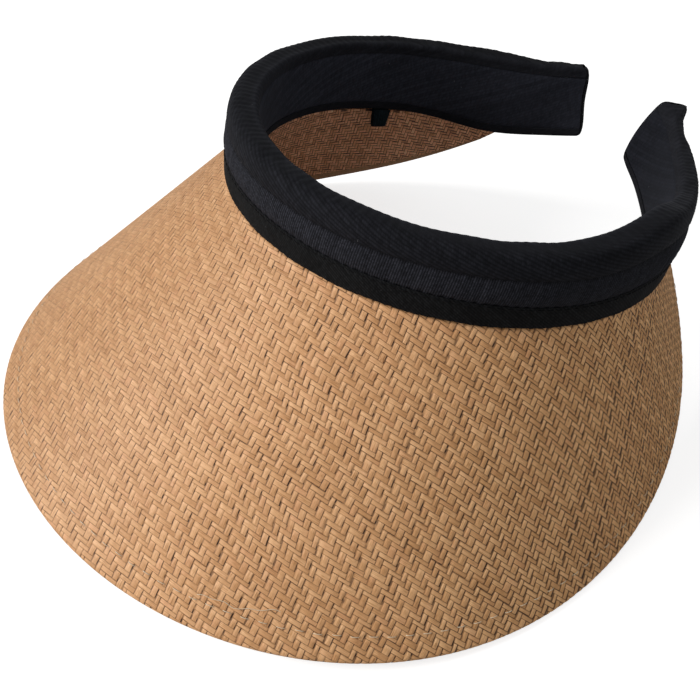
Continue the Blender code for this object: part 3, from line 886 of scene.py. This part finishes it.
def rim_stitching(side, name):
    """Clear thread: a stitch lies on the straw, dives, and comes up again."""
    stitches = stitch_points(side)
    tubes = []
    for n in range(0, len(stitches) - 1, 2):
        t = np.linspace(0, 1, 9)
        arc = stitches[n] + (stitches[n + 1] - stitches[n]) * (t * 1.10 - 0.05)
        tubes.append(rim_thread(
            side * arc, inset=STITCH_INSET + 0.00012 * sin(n * 1.7),
            share=lambda length: np.clip(1 - STITCH_INSET / length, 0, 1),
            rise=0.00030 - 0.00085 * np.abs(2 * t - 1) ** 4, radius=0.00012))
    if side > 0:
        # one slack length of thread lies loose on the straw near the front
        t = np.linspace(0, 1, 33)
        inset = (STITCH_INSET + 0.0012 + 0.0030 * t + 0.0006 * np.sin(9 * t)
                 + 0.0003 * np.sin(23 * t))
        tubes.append(rim_thread(
            0.168 + 0.070 * t, inset, share=lambda length: 1 - inset / length,
            rise=0.00032 + 0.00010 * np.sin(17 * t) - 0.0006 * np.abs(2 * t - 1) ** 12,
            radius=0.00010))
    return join_tubes(name, tubes)


for side, word in SIDES.items():
    for part, place in enumerate(PATCHES):
        zone = "front" if part < 2 else word
        finish_piece(straw_sheet(side, part, f"brim_straw_{word}_{place}"),
                     "straw_sheet", side, [f"{zone}_brim_straw"])
        finish_piece(underside_sheet(side, part, f"brim_underside_{word}_{place}"),
                     "straw_underside", side, [f"{zone}_brim_underside"])
    finish_piece(stiffener_sheet(side, f"brim_stiffener_{word}_half"), "stiffener_sheet", side,
                 ["front_brim_stiffener", f"{word}_brim_stiffener"])
    finish_piece(rim_stitching(side, f"rim_stitching_{word}_half"), "rim_thread", side,
                 ["front_rim_stitching", f"{word}_rim_stitching"])

# ---------------------------------------------------------------- band


def tip_trim(up, tall, side):
    """How far the band's end is cut back: rounded corners and a slight waist.
    The right end is sewn a little askew."""
    radius = 0.0052 if side > 0 else 0.0027
    skew = 0.0030 + 0.0066 * up / tall if side < 0 else 0.0
    over = np.clip((up - (tall - radius)) / radius, 0, 1)
    under = np.clip((radius * 0.6 - up) / (radius * 0.6), 0, 1)
    return (radius * (1 - np.sqrt(1 - over ** 2 * 0.98))
            + radius * 0.6 * (1 - np.sqrt(1 - under ** 2 * 0.98))
            + 0.0010 * np.sin(pi * np.clip(up / tall, 0, 1)) ** 2 + skew)


def trimmed(arc, base, up, tall, side):
    """Arcs moved back by the end's trim, taken up over the last part of the band."""
    share = smooth(0.93 if side > 0 else 0.78, 1.0, base)[:, None]
    return arc - tip_trim(up, tall, side) / HALF_ARC * share * side


PLAIN, RIBBED, TWILL = 0, 1, 2      # weaves of the cover


def cover_profile(tall):
    """The cover's outer face as (out, up) rows and their weaves: from the head side, under
    the lower edge, up the outer face, and over the top to the head side again."""
    low_bend, top_out, top_in = 0.0012, 0.0028, 0.0022
    rows, weaves = [], []

    def add(out, up, weave):
        rows.append((out, up))
        weaves.append(weave)

    for up in np.linspace(LINING_LOW, low_bend, 3)[:-1]:
        add(-BAND_DEPTH, up, PLAIN)
    for a in np.linspace(0, pi / 2, 5):
        add(-BAND_DEPTH + low_bend - low_bend * cos(a), low_bend - low_bend * sin(a), PLAIN)
    for out in np.linspace(-BAND_DEPTH + low_bend, -low_bend, 5)[1:-1]:
        add(out, 0.0, PLAIN)
    for a in np.linspace(0, pi / 2, 4):
        add(-low_bend + low_bend * sin(a), low_bend - low_bend * cos(a), PLAIN)
    groove = tall * GROOVE
    top = tall - top_out
    for low, high, count, weave in ((0.0018, HEM_HEIGHT - 0.0007, 5, PLAIN),
                                    (HEM_HEIGHT - 0.0003, groove, 20, RIBBED),
                                    (groove + 0.0004, top, 14, TWILL)):
        for up in np.linspace(low, high, count):
            add(crown(up, tall), up, weave)
    face = crown(top, tall)
    for a in np.linspace(0, pi / 2, 10)[1:]:
        add(-top_out + (top_out + face) * cos(a), top + top_out * sin(a), TWILL)
    for out in np.linspace(-top_out, -BAND_DEPTH + top_in, 5)[1:-1]:
        add(out, tall, TWILL)
    for a in np.linspace(0, pi / 2, 7):
        add(-BAND_DEPTH + top_in - top_in * sin(a), tall - top_in + top_in * cos(a), TWILL)
    for up in np.linspace(tall - top_in, tall - LINING_DROP, 5)[1:]:
        add(-BAND_DEPTH, up, TWILL)
    return np.array(rows), np.array(weaves)


FRONT_PROFILE, WEAVES = cover_profile(float(height(0.0)))
ROW_COUNT = len(WEAVES)
TABLE_HEIGHTS = np.linspace(0.020, 0.034, 29)
TABLE_PROFILES = np.stack([cover_profile(float(tall))[0] for tall in TABLE_HEIGHTS])


def table_place(x, count):
    """Whole step and remainder of a place in a table of count entries."""
    x = np.clip(x, 0, count - 1.001)
    i = x.astype(int)
    return i, x - i


def profile_at(tall):
    """(out, up) of every profile row, for heights of shape (columns, 1 or rows)."""
    i, part = table_place((tall - TABLE_HEIGHTS[0]) / (TABLE_HEIGHTS[1] - TABLE_HEIGHTS[0]),
                          len(TABLE_HEIGHTS))
    j, part = np.arange(ROW_COUNT), part[..., None]
    both = TABLE_PROFILES[i, j] * (1 - part) + TABLE_PROFILES[i + 1, j] * part
    return both[..., 0], both[..., 1]


PAD_WAVES = [(RNG.uniform(18, 75), RNG.uniform(0, 6.28), RNG.uniform(0.2, 1.0))
             for _ in range(9)]


def pad_fill(arc, up, tall):
    """Outward swell of the padded face between its seams."""
    groove = tall * GROOVE
    mid = np.sin(pi * np.clip((up - HEM_HEIGHT) / (groove - HEM_HEIGHT), 0, 1)) ** 0.8
    top = np.sin(pi * np.clip((up - groove) / (tall - 0.001 - groove), 0, 1)) ** 0.8
    wave = sum(size * np.sin(rate * arc + phase) for rate, phase, size in PAD_WAVES) / 3.0
    return (0.00062 + 0.00012 * wave) * mid + (0.00050 + 0.00012 * wave) * top


def sheet_rows():
    """Profile rows above the hem seam, about 1.5 mm apart, and the groove's row."""
    ribbed = np.where(WEAVES == RIBBED)[0]
    first, groove = int(ribbed[0]), int(ribbed[-1])
    run = run_length(FRONT_PROFILE)
    keep = [first]
    for j in range(first + 1, ROW_COUNT):
        if j in (groove, ROW_COUNT - 1) or run[j] - run[keep[-1]] >= 0.0014:
            if j < groove and run[groove] - run[j] < 0.0008:
                continue
            keep.append(j)
    return np.array(keep), groove


def add_padding_cloth(obj):
    """Cloth held by the group "held", blown up by pressure and a little oversize."""
    cloth = obj.modifiers.new("padding", "CLOTH")
    settings = dict(
        quality=6, mass=0.3, time_scale=1.0,
        tension_stiffness=15.0, compression_stiffness=15.0,
        shear_stiffness=5.0, bending_stiffness=0.6,
        tension_damping=8.0, compression_damping=8.0,
        shear_damping=8.0, bending_damping=0.5, air_damping=4.0,
        vertex_group_mass="held", pin_stiffness=20.0,
        use_pressure=True, uniform_pressure_force=3.0, shrink_min=-0.025, shrink_max=-0.025)
    for key, value in settings.items():
        setattr(cloth.settings, key, value)
    cloth.settings.effector_weights.gravity = 0.0
    cloth.collision_settings.use_collision = False
    cloth.collision_settings.use_self_collision = False
    return cloth


def simulate_padding():
    """Blows the cover up against its seams, as a cloth sheet held at the stitches.
    Returns the arcs, the profile rows and how far the sheet moves out there."""
    half = int(round(HALF_ARC / (1.6 * MM)))
    arc = np.linspace(-1, 1, 2 * half + 1)
    keep, groove = sheet_rows()
    out, up = (part[:, keep] for part in profile_at(height(arc)[:, None]))
    rest = pad_point(np.broadcast_to(arc[:, None], out.shape), out, up)
    K, J = out.shape
    scale = 10.0        # the cloth is simulated larger than life
    k, j = np.meshgrid(np.arange(K - 1), np.arange(J - 1), indexing="ij")
    quads = np.stack([k * J + j, (k + 1) * J + j, (k + 1) * J + j + 1, k * J + j + 1], -1)
    quads = quads.reshape(-1, 4)
    normal = np.cross(np.gradient(rest, axis=0), np.gradient(rest, axis=1))
    normal /= np.linalg.norm(normal, axis=-1, keepdims=True)
    centre = band_point(arc, np.full_like(arc, -BAND_DEPTH / 2), height(arc) / 2)[:, None]
    if (normal * (rest - centre)).sum() < 0:
        normal, quads = -normal, quads[:, ::-1]
    mesh = bpy.data.meshes.new("padding_sheet")
    mesh.from_pydata((rest * scale).reshape(-1, 3).tolist(), [], quads.tolist())
    mesh.update()
    obj = bpy.data.objects.new("padding_sheet", mesh)
    bpy.context.scene.collection.objects.link(obj)
    # the seams hold every other column; the head side and the ends are held throughout
    weight = np.zeros((K, J))
    even = (np.arange(K) % 2 == 0).astype(float)
    weight[:, 0] = np.maximum(even, 0.25)
    weight[:, list(keep).index(groove)] = 0.9 * even
    weight[:, -1] = 1.0
    weight[:2], weight[-2:] = 1.0, 1.0
    group = obj.vertex_groups.new(name="held")
    flat = weight.ravel()
    for value in np.unique(flat[flat > 0]):
        group.add(np.where(flat == value)[0].tolist(), float(value), "REPLACE")
    cloth = add_padding_cloth(obj)
    scene = bpy.context.scene
    before = scene.frame_current
    cloth.point_cache.frame_start, cloth.point_cache.frame_end = 1, 24
    for frame_number in range(1, 25):
        scene.frame_set(frame_number)
    done = obj.evaluated_get(bpy.context.evaluated_depsgraph_get())
    now = np.empty(K * J * 3, np.float32)
    done.data.vertices.foreach_get("co", now)
    move = now.reshape(K, J, 3).astype(float) / scale - rest
    bpy.data.objects.remove(obj, do_unlink=True)
    bpy.data.meshes.remove(mesh)
    scene.frame_set(before)
    swell = (move * normal).sum(-1)
    # a simulation that failed or did not run is not used
    if not np.isfinite(swell).all() or not 1e-6 <= np.abs(swell).max() <= 0.02:
        return None
    return arc, keep, np.clip(swell, -0.0004, 0.0013)


SIMULATED = simulate_padding()


def sim_swell(arc):
    """The simulated swell at every row of the profile."""
    arcs, keep, swell = SIMULATED
    i, part = table_place((arc - arcs[0]) / (arcs[1] - arcs[0]), len(arcs))
    rows = np.arange(ROW_COUNT)
    r, row_part = table_place(np.interp(rows, keep, np.arange(len(keep)), left=-1), len(keep))
    before = swell[i, r] * (1 - row_part) + swell[i, r + 1] * row_part
    after = swell[i + 1, r] * (1 - row_part) + swell[i + 1, r + 1] * row_part
    value = before * (1 - part) + after * part
    # columns 0.25 mm apart: a short running mean takes the facets out
    padded = np.pad(value, ((3, 3), (0, 0)), mode="edge")
    value = sum(padded[m:m + len(value)] for m in range(7)) / 7
    return value * (rows >= keep[0]).astype(float)


def cover_half(side, name):
    """The cover's outer face with ribs, twill, seams and padding, and its inner face."""
    K = int(round(HALF_ARC / (RIB / 3))) + 1    # three columns to a rib
    base = np.arange(K) * (RIB / 3) / HALF_ARC
    base[-1] = 1.0
    ribbed, twilled = WEAVES[None] == RIBBED, WEAVES[None] == TWILL
    # the ribs slant: rows slide along the band as they rise, less near the end
    square = (side * base)[:, None]
    tall = height(square)
    _, up = profile_at(tall)
    shear = np.where(ribbed, np.clip(up - HEM_HEIGHT, 0, None),
                     np.where(twilled, tall * GROOVE - HEM_HEIGHT, 0.0)) * SLANT / HALF_ARC
    shear *= (1 - smooth(0.90, 1.0, base))[:, None]
    arc = trimmed(square + shear, base, up, tall, side)
    # the true profile at the slanted place
    tall = height(arc)
    out, up = profile_at(tall)
    run = arc * HALF_ARC
    face = smooth(-0.004, 0.0, out)
    end_fade = smooth(0.0005, 0.010, (1.0 - np.abs(arc)) * HALF_ARC)
    if SIMULATED is None:
        swell = pad_fill(arc, up, tall) * face * end_fade
    else:
        swell = (0.22 * pad_fill(arc, up, tall) * face + 0.55 * sim_swell(arc)) * end_fade
    # ribs follow the columns, twill runs at its own angle
    rib = np.cos(2 * pi * np.arange(K) / 3.0)[:, None]
    twill = (up * cos(radians(21)) + run * sin(radians(21)) - out * 0.6 * twilled) / (1.15 * MM)
    roll = smooth(0.0, 0.0035, -out) * twilled      # the plain woven turn-in over the top
    fine = np.where(ribbed, 0.000060 * rib, np.where(
        twilled, 0.000040 * np.cos(2 * pi * twill) * (1 - 0.8 * roll), 0.0))
    stitch = 0.5 + 0.5 * np.cos(2 * pi * run / HEM_PITCH)
    from_groove, from_hem = up - tall * GROOVE, up - HEM_HEIGHT
    groove = -(0.00010 + 0.00014 * stitch) * np.exp(-(from_groove / 0.00055) ** 2) * face
    tuck = -(0.00022 + 0.00030 * stitch) * np.exp(-(from_hem / 0.0007) ** 2) * face
    # outward direction of the profile in the (out, up) plane
    d_out, d_up = np.gradient(out, axis=1), np.gradient(up, axis=1)
    size = np.hypot(d_out, d_up) + 1e-12
    normal_out, normal_up = d_up / size, -d_out / size
    lift = swell + fine + groove + tuck
    # the top edge wavers
    waver = ((0.00016 * np.sin(run / 0.0042 + 1.3 * np.sin(run / 0.013))
              + 0.00005 * np.cos(2 * pi * run / HEM_PITCH))
             * smooth(0.0, 0.006, up - (tall - 0.006)))
    outer = pad_point(arc, out + normal_out * lift, up + normal_up * lift + waver)
    # inner face, one tape thickness in
    picked = np.unique(np.round(np.linspace(ROW_COUNT - 1, 0, 20)).astype(int))[::-1]
    inner = pad_point(arc[:, picked], (out - normal_out * TAPE)[:, picked],
                      (up - normal_up * TAPE)[:, picked])
    ribs = np.where(ribbed, np.arange(K)[:, None] / 3.0,
                    np.where(twilled, twill, run / (0.9 * MM) + up / (0.7 * MM)))
    yarns = np.where(ribbed, up / (0.55 * MM),
                     np.where(twilled, run / (0.75 * MM), up / (0.6 * MM)))
    # tone, with painted light and shade: ribs paler on the lit right half, the turn-in over the
    # top darker, most on the right, the turn-in's head side lighter except towards the left end,
    # and painted shade in the seam grooves
    inner_roll = smooth(0.0050, 0.0078, -out)
    top_painted_light = ((1.0 - 0.15 * roll) * (1 - 0.56 * smooth(0.20, 0.65, -arc) * roll)
                + (0.8 - 0.4 * smooth(0.35, 0.9, arc)) * inner_roll)
    tone = (np.where(ribbed, 1.78 - 0.50 * smooth(0.2, 0.5, arc),
                     np.where(twilled, top_painted_light, 0.9))
            * (1 - (0.25 + 0.35 * stitch) * np.exp(-(from_groove / 0.0006) ** 2) * face)
            * (1 - (0.35 + 0.45 * stitch) * np.exp(-(from_hem / 0.0008) ** 2) * face))
    soft = np.where(twilled, 0.45 + 0.5 * roll, np.where(ribbed, 0.0, 0.7))
    cloth = np.stack([ribs, yarns, tone], -1)
    attributes = {key: np.concatenate([value, value[:, picked]], 1)
                  for key, value in (("cloth", cloth), ("soft", soft))}
    return sweep(name, world(np.concatenate([outer, inner], 1)), attributes,
                 sharp_rows=(0, ROW_COUNT - 1))


def plain_phase(run, up):
    return run, up


def band_strip(side, name, count, outer, inner, phase=plain_phase, end=1.0,
               tone=np.ones_like, soft=0.0):
    """A layer of the band between two faces given as functions (arc, tall) -> (out, up)."""
    base = np.linspace(0, end, count)
    arc = (side * base)[:, None]
    tall = height(arc)
    faces, cloths = [], []
    for face in (outer, inner):
        out, up = face(arc, tall)
        place = trimmed(arc, base, up, tall, side)
        faces.append(pad_point(place, out, up))
        cloths.append(np.stack([*phase(place * HALF_ARC, up), tone(place)], -1))
    points, cloth = (np.concatenate([first, second[:, ::-1]], 1)
                     for first, second in (faces, cloths))
    J = faces[0].shape[1]
    return sweep(name, world(points), {"cloth": cloth, "soft": np.full(points.shape[:2], soft)},
                 sharp_rows=(0, J - 1, J, points.shape[1] - 1))


def lining_half(side, name):
    """The tape on the head side, between the cover's two edges."""
    def rows(tall, count):
        share = np.linspace(0, 1, count)[None]
        low, high = LINING_LOW + 0.00008, tall - LINING_DROP - 0.00008
        return share, low, high, low + (high - low) * share

    def outer(arc, tall):
        share, low, high, up = rows(tall, 34)
        edge_fall = 0.00035 * (np.exp(-(up - low) / 0.0005) + np.exp(-(high - up) / 0.0005))
        swell = (0.00025 * np.sin(pi * share)
                 + 0.00008 * np.sin(arc * HALF_ARC / 0.006 + 2 * share))
        return -BAND_DEPTH - swell + edge_fall, up

    def inner(arc, tall):
        up = rows(tall, 8)[-1]
        return np.full_like(up, -BAND_DEPTH + TAPE), up

    def phase(run, up):
        return (up * cos(radians(22)) + run * sin(radians(22))) / (1.25 * MM), run / (0.7 * MM)

    def tone(arc):
        """Painted shade: darker towards both ends, most at the left."""
        return 1.75 - 0.98 * smooth(0.35, 0.9, arc) - 0.48 * smooth(0.5, 0.9, -arc)

    return band_strip(side, name, 520, outer, inner, phase, tone=tone, soft=0.75)


def hem_half(side, name):
    """The strip over the brim seam, its upper edge tucked under the padded face."""
    def outer(arc, tall):
        up = np.concatenate([np.linspace(0.00015, 0.0010, 4),
                             np.linspace(0.0014, HEM_HEIGHT - 0.0008, 14),
                             np.linspace(HEM_HEIGHT - 0.0005, HEM_HEIGHT, 3)])[None]
        run = arc * HALF_ARC
        low = 0.00075 * np.exp(-(up / 0.0035) ** 2)
        body = (np.maximum(0.0003, crown(up, tall)) + 0.00075 + low
                - 0.00042 * smooth(0.004, HEM_HEIGHT, up))
        body = (body - 0.00055 * np.exp(-((up - 0.00015) / 0.00035) ** 2)
                - 0.00030 * np.exp(-((up - HEM_HEIGHT) / 0.0005) ** 2))
        twill = 0.00004 * np.cos(2 * pi * (up + run * 0.7) / (1.0 * MM))
        pucker = (0.00010 * np.sin(run / 0.0026 + 1.1 * np.sin(run / 0.011))
                  * np.sin(pi * up / HEM_HEIGHT))
        valley = -0.00010 * np.exp(-((up - HEM_HEIGHT + 0.0011) / 0.0006) ** 2)
        scallop = (0.00012 * np.sin(run / 0.0031 + np.sin(run / 0.017))
                   + 0.00010 * np.cos(2 * pi * run / HEM_PITCH + 1.2 * np.sin(run / 0.03)))
        return body + twill + pucker + valley, up + scallop * (up < 0.0012)

    def inner(arc, tall):
        up = np.linspace(0.00025, HEM_HEIGHT - 0.0002, 8)[None] + 0 * tall
        return np.maximum(0.0003, crown(up, tall)) + 0.0001, up

    def phase(run, up):
        return (up + run * 0.7) / (1.0 * MM), run / (0.55 * MM)

    return band_strip(side, name, 840, outer, inner, phase)


def spring_half(side, name):
    """The flat spring, with eased edges."""
    def face(sign):
        def rows(arc, tall):
            share = np.linspace(0, 1, 8)[None]
            up = 0.0044 + (tall - 0.0088) * share
            ease = 1 - 0.5 * np.abs(2 * share - 1) ** 8
            return SPRING_MID + sign * SPRING_HALF * ease + 0 * up, up
        return rows
    return band_strip(side, name, 260, face(1), face(-1), end=0.972)


def foam_half(side, name):
    """The pad between the spring and the cover's outer face."""
    def rows(tall, count):
        share = np.linspace(0, 1, count)[None]
        return share, 0.0019 + (tall - 0.0038) * share

    def outer(arc, tall):
        share, up = rows(tall, 14)
        ease = 0.0016 * np.abs(2 * share - 1) ** 5
        return crown(up, tall) - TAPE - GAP - 0.0002 - ease, up

    def inner(arc, tall):
        up = rows(tall, 8)[1]
        return SPRING_MID + SPRING_HALF + GAP + 0 * up, up

    return band_strip(side, name, 300, outer, inner, end=0.984)


def hem_stitching(side, name):
    tubes = []
    stop = float(tip_trim(np.array(HEM_HEIGHT), height(1.0), side))
    for n in range(int((HALF_ARC - stop - 0.0030) / HEM_PITCH)):
        t = np.linspace(-1, 1, 7)
        arc = side * ((n + 0.5) * HEM_PITCH + t * HEM_PITCH * 0.40) / HALF_ARC
        up = np.full_like(arc, HEM_HEIGHT - 0.0009) + 0.00005 * sin(n * 2.3)
        lift = 0.00046 - 0.00042 * np.abs(t) ** 4
        out = np.maximum(0.0003, crown(up, height(arc))) + lift
        tubes.append(tube(world(pad_point(arc, out, up)), 0.00019))
    return join_tubes(name, tubes)


def end_cap(side, name):
    """The sewn end of the cover: a small stuffed face closing the band at its tip."""
    tall = height(side * 1.0)
    # a plain outline of the band's section, evenly stepped
    rows = cover_profile(float(tall))[0][3:-4]
    closed = np.concatenate([rows, rows[:1]])
    run = run_length(closed)
    count = 72
    steps = np.linspace(0, run[-1], count, endpoint=False)
    outline = np.stack([np.interp(steps, run, closed[:, 0]),
                        np.interp(steps, run, closed[:, 1])], -1)
    centre = np.array([-BAND_DEPTH / 2, tall / 2])

    def ring(size):
        return centre + (outline - centre) * size

    # loops of (out, up) and how far each stands beyond the end; the first four are a
    # plug that reaches inside the cover, so that the seam does not gape
    loops = [(ring(size), -0.0018) for size in (0.06, 0.4, 0.70, 0.76)]
    loops += [(ring(0.77), 0.0), (ring(0.95), 0.00008)]
    for size in (0.985, 0.95, 0.88, 0.76, 0.6, 0.4, 0.2, 0.06):
        loop = ring(size)
        bulge = (0.0028 if side > 0 else 0.0014) * (1 - size ** 4)
        if side > 0:
            bulge = bulge + (0.0024 * (1 - size ** 2)
                             * np.clip(1 + loop[:, 0] / BAND_DEPTH, 0, 1))
        loops.append((loop, 0.0003 + bulge))
    points, cloth = [], []
    for loop, beyond in loops:
        out, up = loop.T
        arc = side * (1.0 + beyond / HALF_ARC) - side * tip_trim(up, tall, side) / HALF_ARC
        points.append(pad_point(arc, out, up))
        cloth.append(np.stack([(up + out) / (1.0 * MM), (up - out) / (0.7 * MM),
                               np.full(count, 0.9)], -1))
    return sweep(name, world(np.stack(points)), {"cloth": np.stack(cloth)})


def cord_loop(side, name):
    """A folded tape loop below the band's head-side edge, narrower at its end."""
    arc = np.array(side * LOOP_AT)
    along_dir, up_dir, out_dir = axes(arc)
    base = band_point(arc, np.array(-BAND_DEPTH + 0.0002), np.array(-0.0005))
    drop, depth, thick = 0.0080, 0.0024, 0.00070
    straight, radius = drop - depth / 2, depth / 2 - thick / 2
    # centre line of the U, from the head side round the bend to the other leg
    legs = np.linspace(0, 1, 9)
    path = [(thick / 2, -share * straight) for share in legs]
    path += [(depth / 2 - radius * cos(t), -straight - radius * sin(t))
             for t in np.linspace(0, pi, 11)[1:-1]]
    path += [(depth - thick / 2, -share * straight) for share in legs[::-1]]
    path = np.array(path)
    ahead = np.gradient(path, axis=0)
    ahead /= np.linalg.norm(ahead, axis=1, keepdims=True)
    normal = np.stack([-ahead[:, 1], ahead[:, 0]], -1)
    count = 15
    eased = 1 - 0.55 * np.abs(np.linspace(-1, 1, count)) ** 6
    points, cloth = [], []
    for k in range(len(path)):
        low = np.clip(-path[k, 1] / drop, 0, 1)
        xs = np.linspace(-0.5, 0.5, count) * (0.0078 * (1 - 0.22 * low ** 1.5))
        ring, ring_cloth = [], []
        for sign in (1, -1):
            for i in range(count)[::sign]:
                out, up = path[k] + normal[k] * sign * thick / 2 * eased[i]
                ring.append(base + along_dir * xs[i] + out * out_dir + up * up_dir)
                ring_cloth.append((xs[i] / (0.8 * MM) + k * 0.35, k * 0.9, 1.0))
        points.append(ring)
        cloth.append(ring_cloth)
    return sweep(name, world(np.array(points)), {"cloth": np.array(cloth)})


# Function, piece and slot of the layers that run from the front to an end.
BAND_PIECES = (
    (cover_half, "cover", "tape_cover"),
    (lining_half, "lining", "lining_tape"),
    (hem_half, "hem_tape", "hem_tape"),
    (hem_stitching, "hem_stitching", "hem_thread"),
    (spring_half, "spring", "spring_strip"),
    (foam_half, "foam_pad", "foam_pad"),
)
for side, word in SIDES.items():
    for make, piece, slot in BAND_PIECES:
        finish_piece(make(side, f"{piece}_{word}_half"), slot, side,
                     [f"front_{piece}", f"{word}_{piece}"])
    for make, piece, slot in ((end_cap, "end_cap", "tape_cover"),
                              (cord_loop, "cord_loop", "loop_tape")):
        finish_piece(make(side, f"{piece}_{word}"), slot, side, [f"{word}_{piece}"],
                     body=f"{word}_arm")

# ---------------------------------------------------------------- stage

scene = bpy.context.scene


def make_floor():
    """A backlit white sweep: bright to the camera without lighting the visor."""
    bpy.ops.mesh.primitive_plane_add(size=8.0, location=(0, 0, -0.0002))
    floor = bpy.context.active_object
    floor.name = "floor"
    net = Net("floor_pale")
    speck = net.noise(net.object_coords(), scale=3.0)
    matt = net.principled(Base_Color=net.mix(speck, (0.57, 0.57, 0.57), (0.59, 0.59, 0.59)),
                          Roughness=0.9, Specular_IOR_Level=0.1)
    to_camera = net.node("ShaderNodeLightPath", out="Is Camera Ray")
    glow = net.node("ShaderNodeEmission", {"Strength": 0.74})
    black = net.node("ShaderNodeEmission", {"Strength": 0.0})
    seen = net.node("ShaderNodeMixShader", {0: to_camera, 1: black, 2: glow})
    floor.data.materials.append(net.finish(net.node("ShaderNodeAddShader", {0: matt, 1: seen})))


make_floor()

studio = bpy.data.worlds.new("studio")
scene.world = studio
studio.use_nodes = True
background = studio.node_tree.nodes["Background"]
background.inputs["Color"].default_value = (1, 1, 1, 1)
background.inputs["Strength"].default_value = 0.35

# Camera, placed in the visor's level frame.
AZIMUTH, ELEVATION, ROLL = radians(42.534), radians(37.968), radians(13.723)
DISTANCE = 0.3905349
TARGET = np.array([-0.02202585, -0.00502635, -0.0897729])
LENS = 45.61282     # mm
back = np.array([sin(AZIMUTH) * cos(ELEVATION), -cos(AZIMUTH) * cos(ELEVATION), sin(ELEVATION)])
level_x = np.array([cos(AZIMUTH), sin(AZIMUTH), 0])
level_y = np.cross(back, level_x)
cam_x = cos(ROLL) * level_x + sin(ROLL) * level_y
cam_y = -sin(ROLL) * level_x + cos(ROLL) * level_y
cam_axes = ROT @ np.stack([cam_x, cam_y, back], 1)
cam_place = world(TARGET + DISTANCE * back)
cam = bpy.data.objects.new("camera", bpy.data.cameras.new("camera"))
scene.collection.objects.link(cam)
cam.matrix_world = Matrix([[*cam_axes[i], cam_place[i]] for i in range(3)] + [[0, 0, 0, 1]])
cam.data.sensor_width = 36.0
cam.data.lens = LENS
cam.data.clip_start, cam.data.clip_end = 0.01, 20.0
scene.camera = cam


def area_light(name, direction, distance, size, power, colour):
    """A round light aimed at a point just above the floor."""
    data = bpy.data.lights.new(name, "AREA")
    data.shape, data.size, data.energy, data.color = "DISK", size, power, colour
    obj = bpy.data.objects.new(name, data)
    direction = np.asarray(direction, float)
    direction /= np.linalg.norm(direction)
    obj.location = Vector(np.array((0, 0, 0.05)) + direction * distance)
    obj.rotation_mode = "QUATERNION"
    obj.rotation_quaternion = Vector(direction).to_track_quat("Z", "Y")
    scene.collection.objects.link(obj)


area_light("key", direction=(-0.45, -0.75, 0.49), distance=3.2, size=1.45, power=82.0,
           colour=(1.0, 0.985, 0.96))
# the fill stands to the camera's right, a little above it
area_light("fill", direction=cam_axes @ (0.5, 0.2, 0.85), distance=2.0, size=1.4, power=1.0,
           colour=(0.94, 0.97, 1.0))

scene.view_settings.view_transform = "Standard"
scene.view_settings.look = "None"
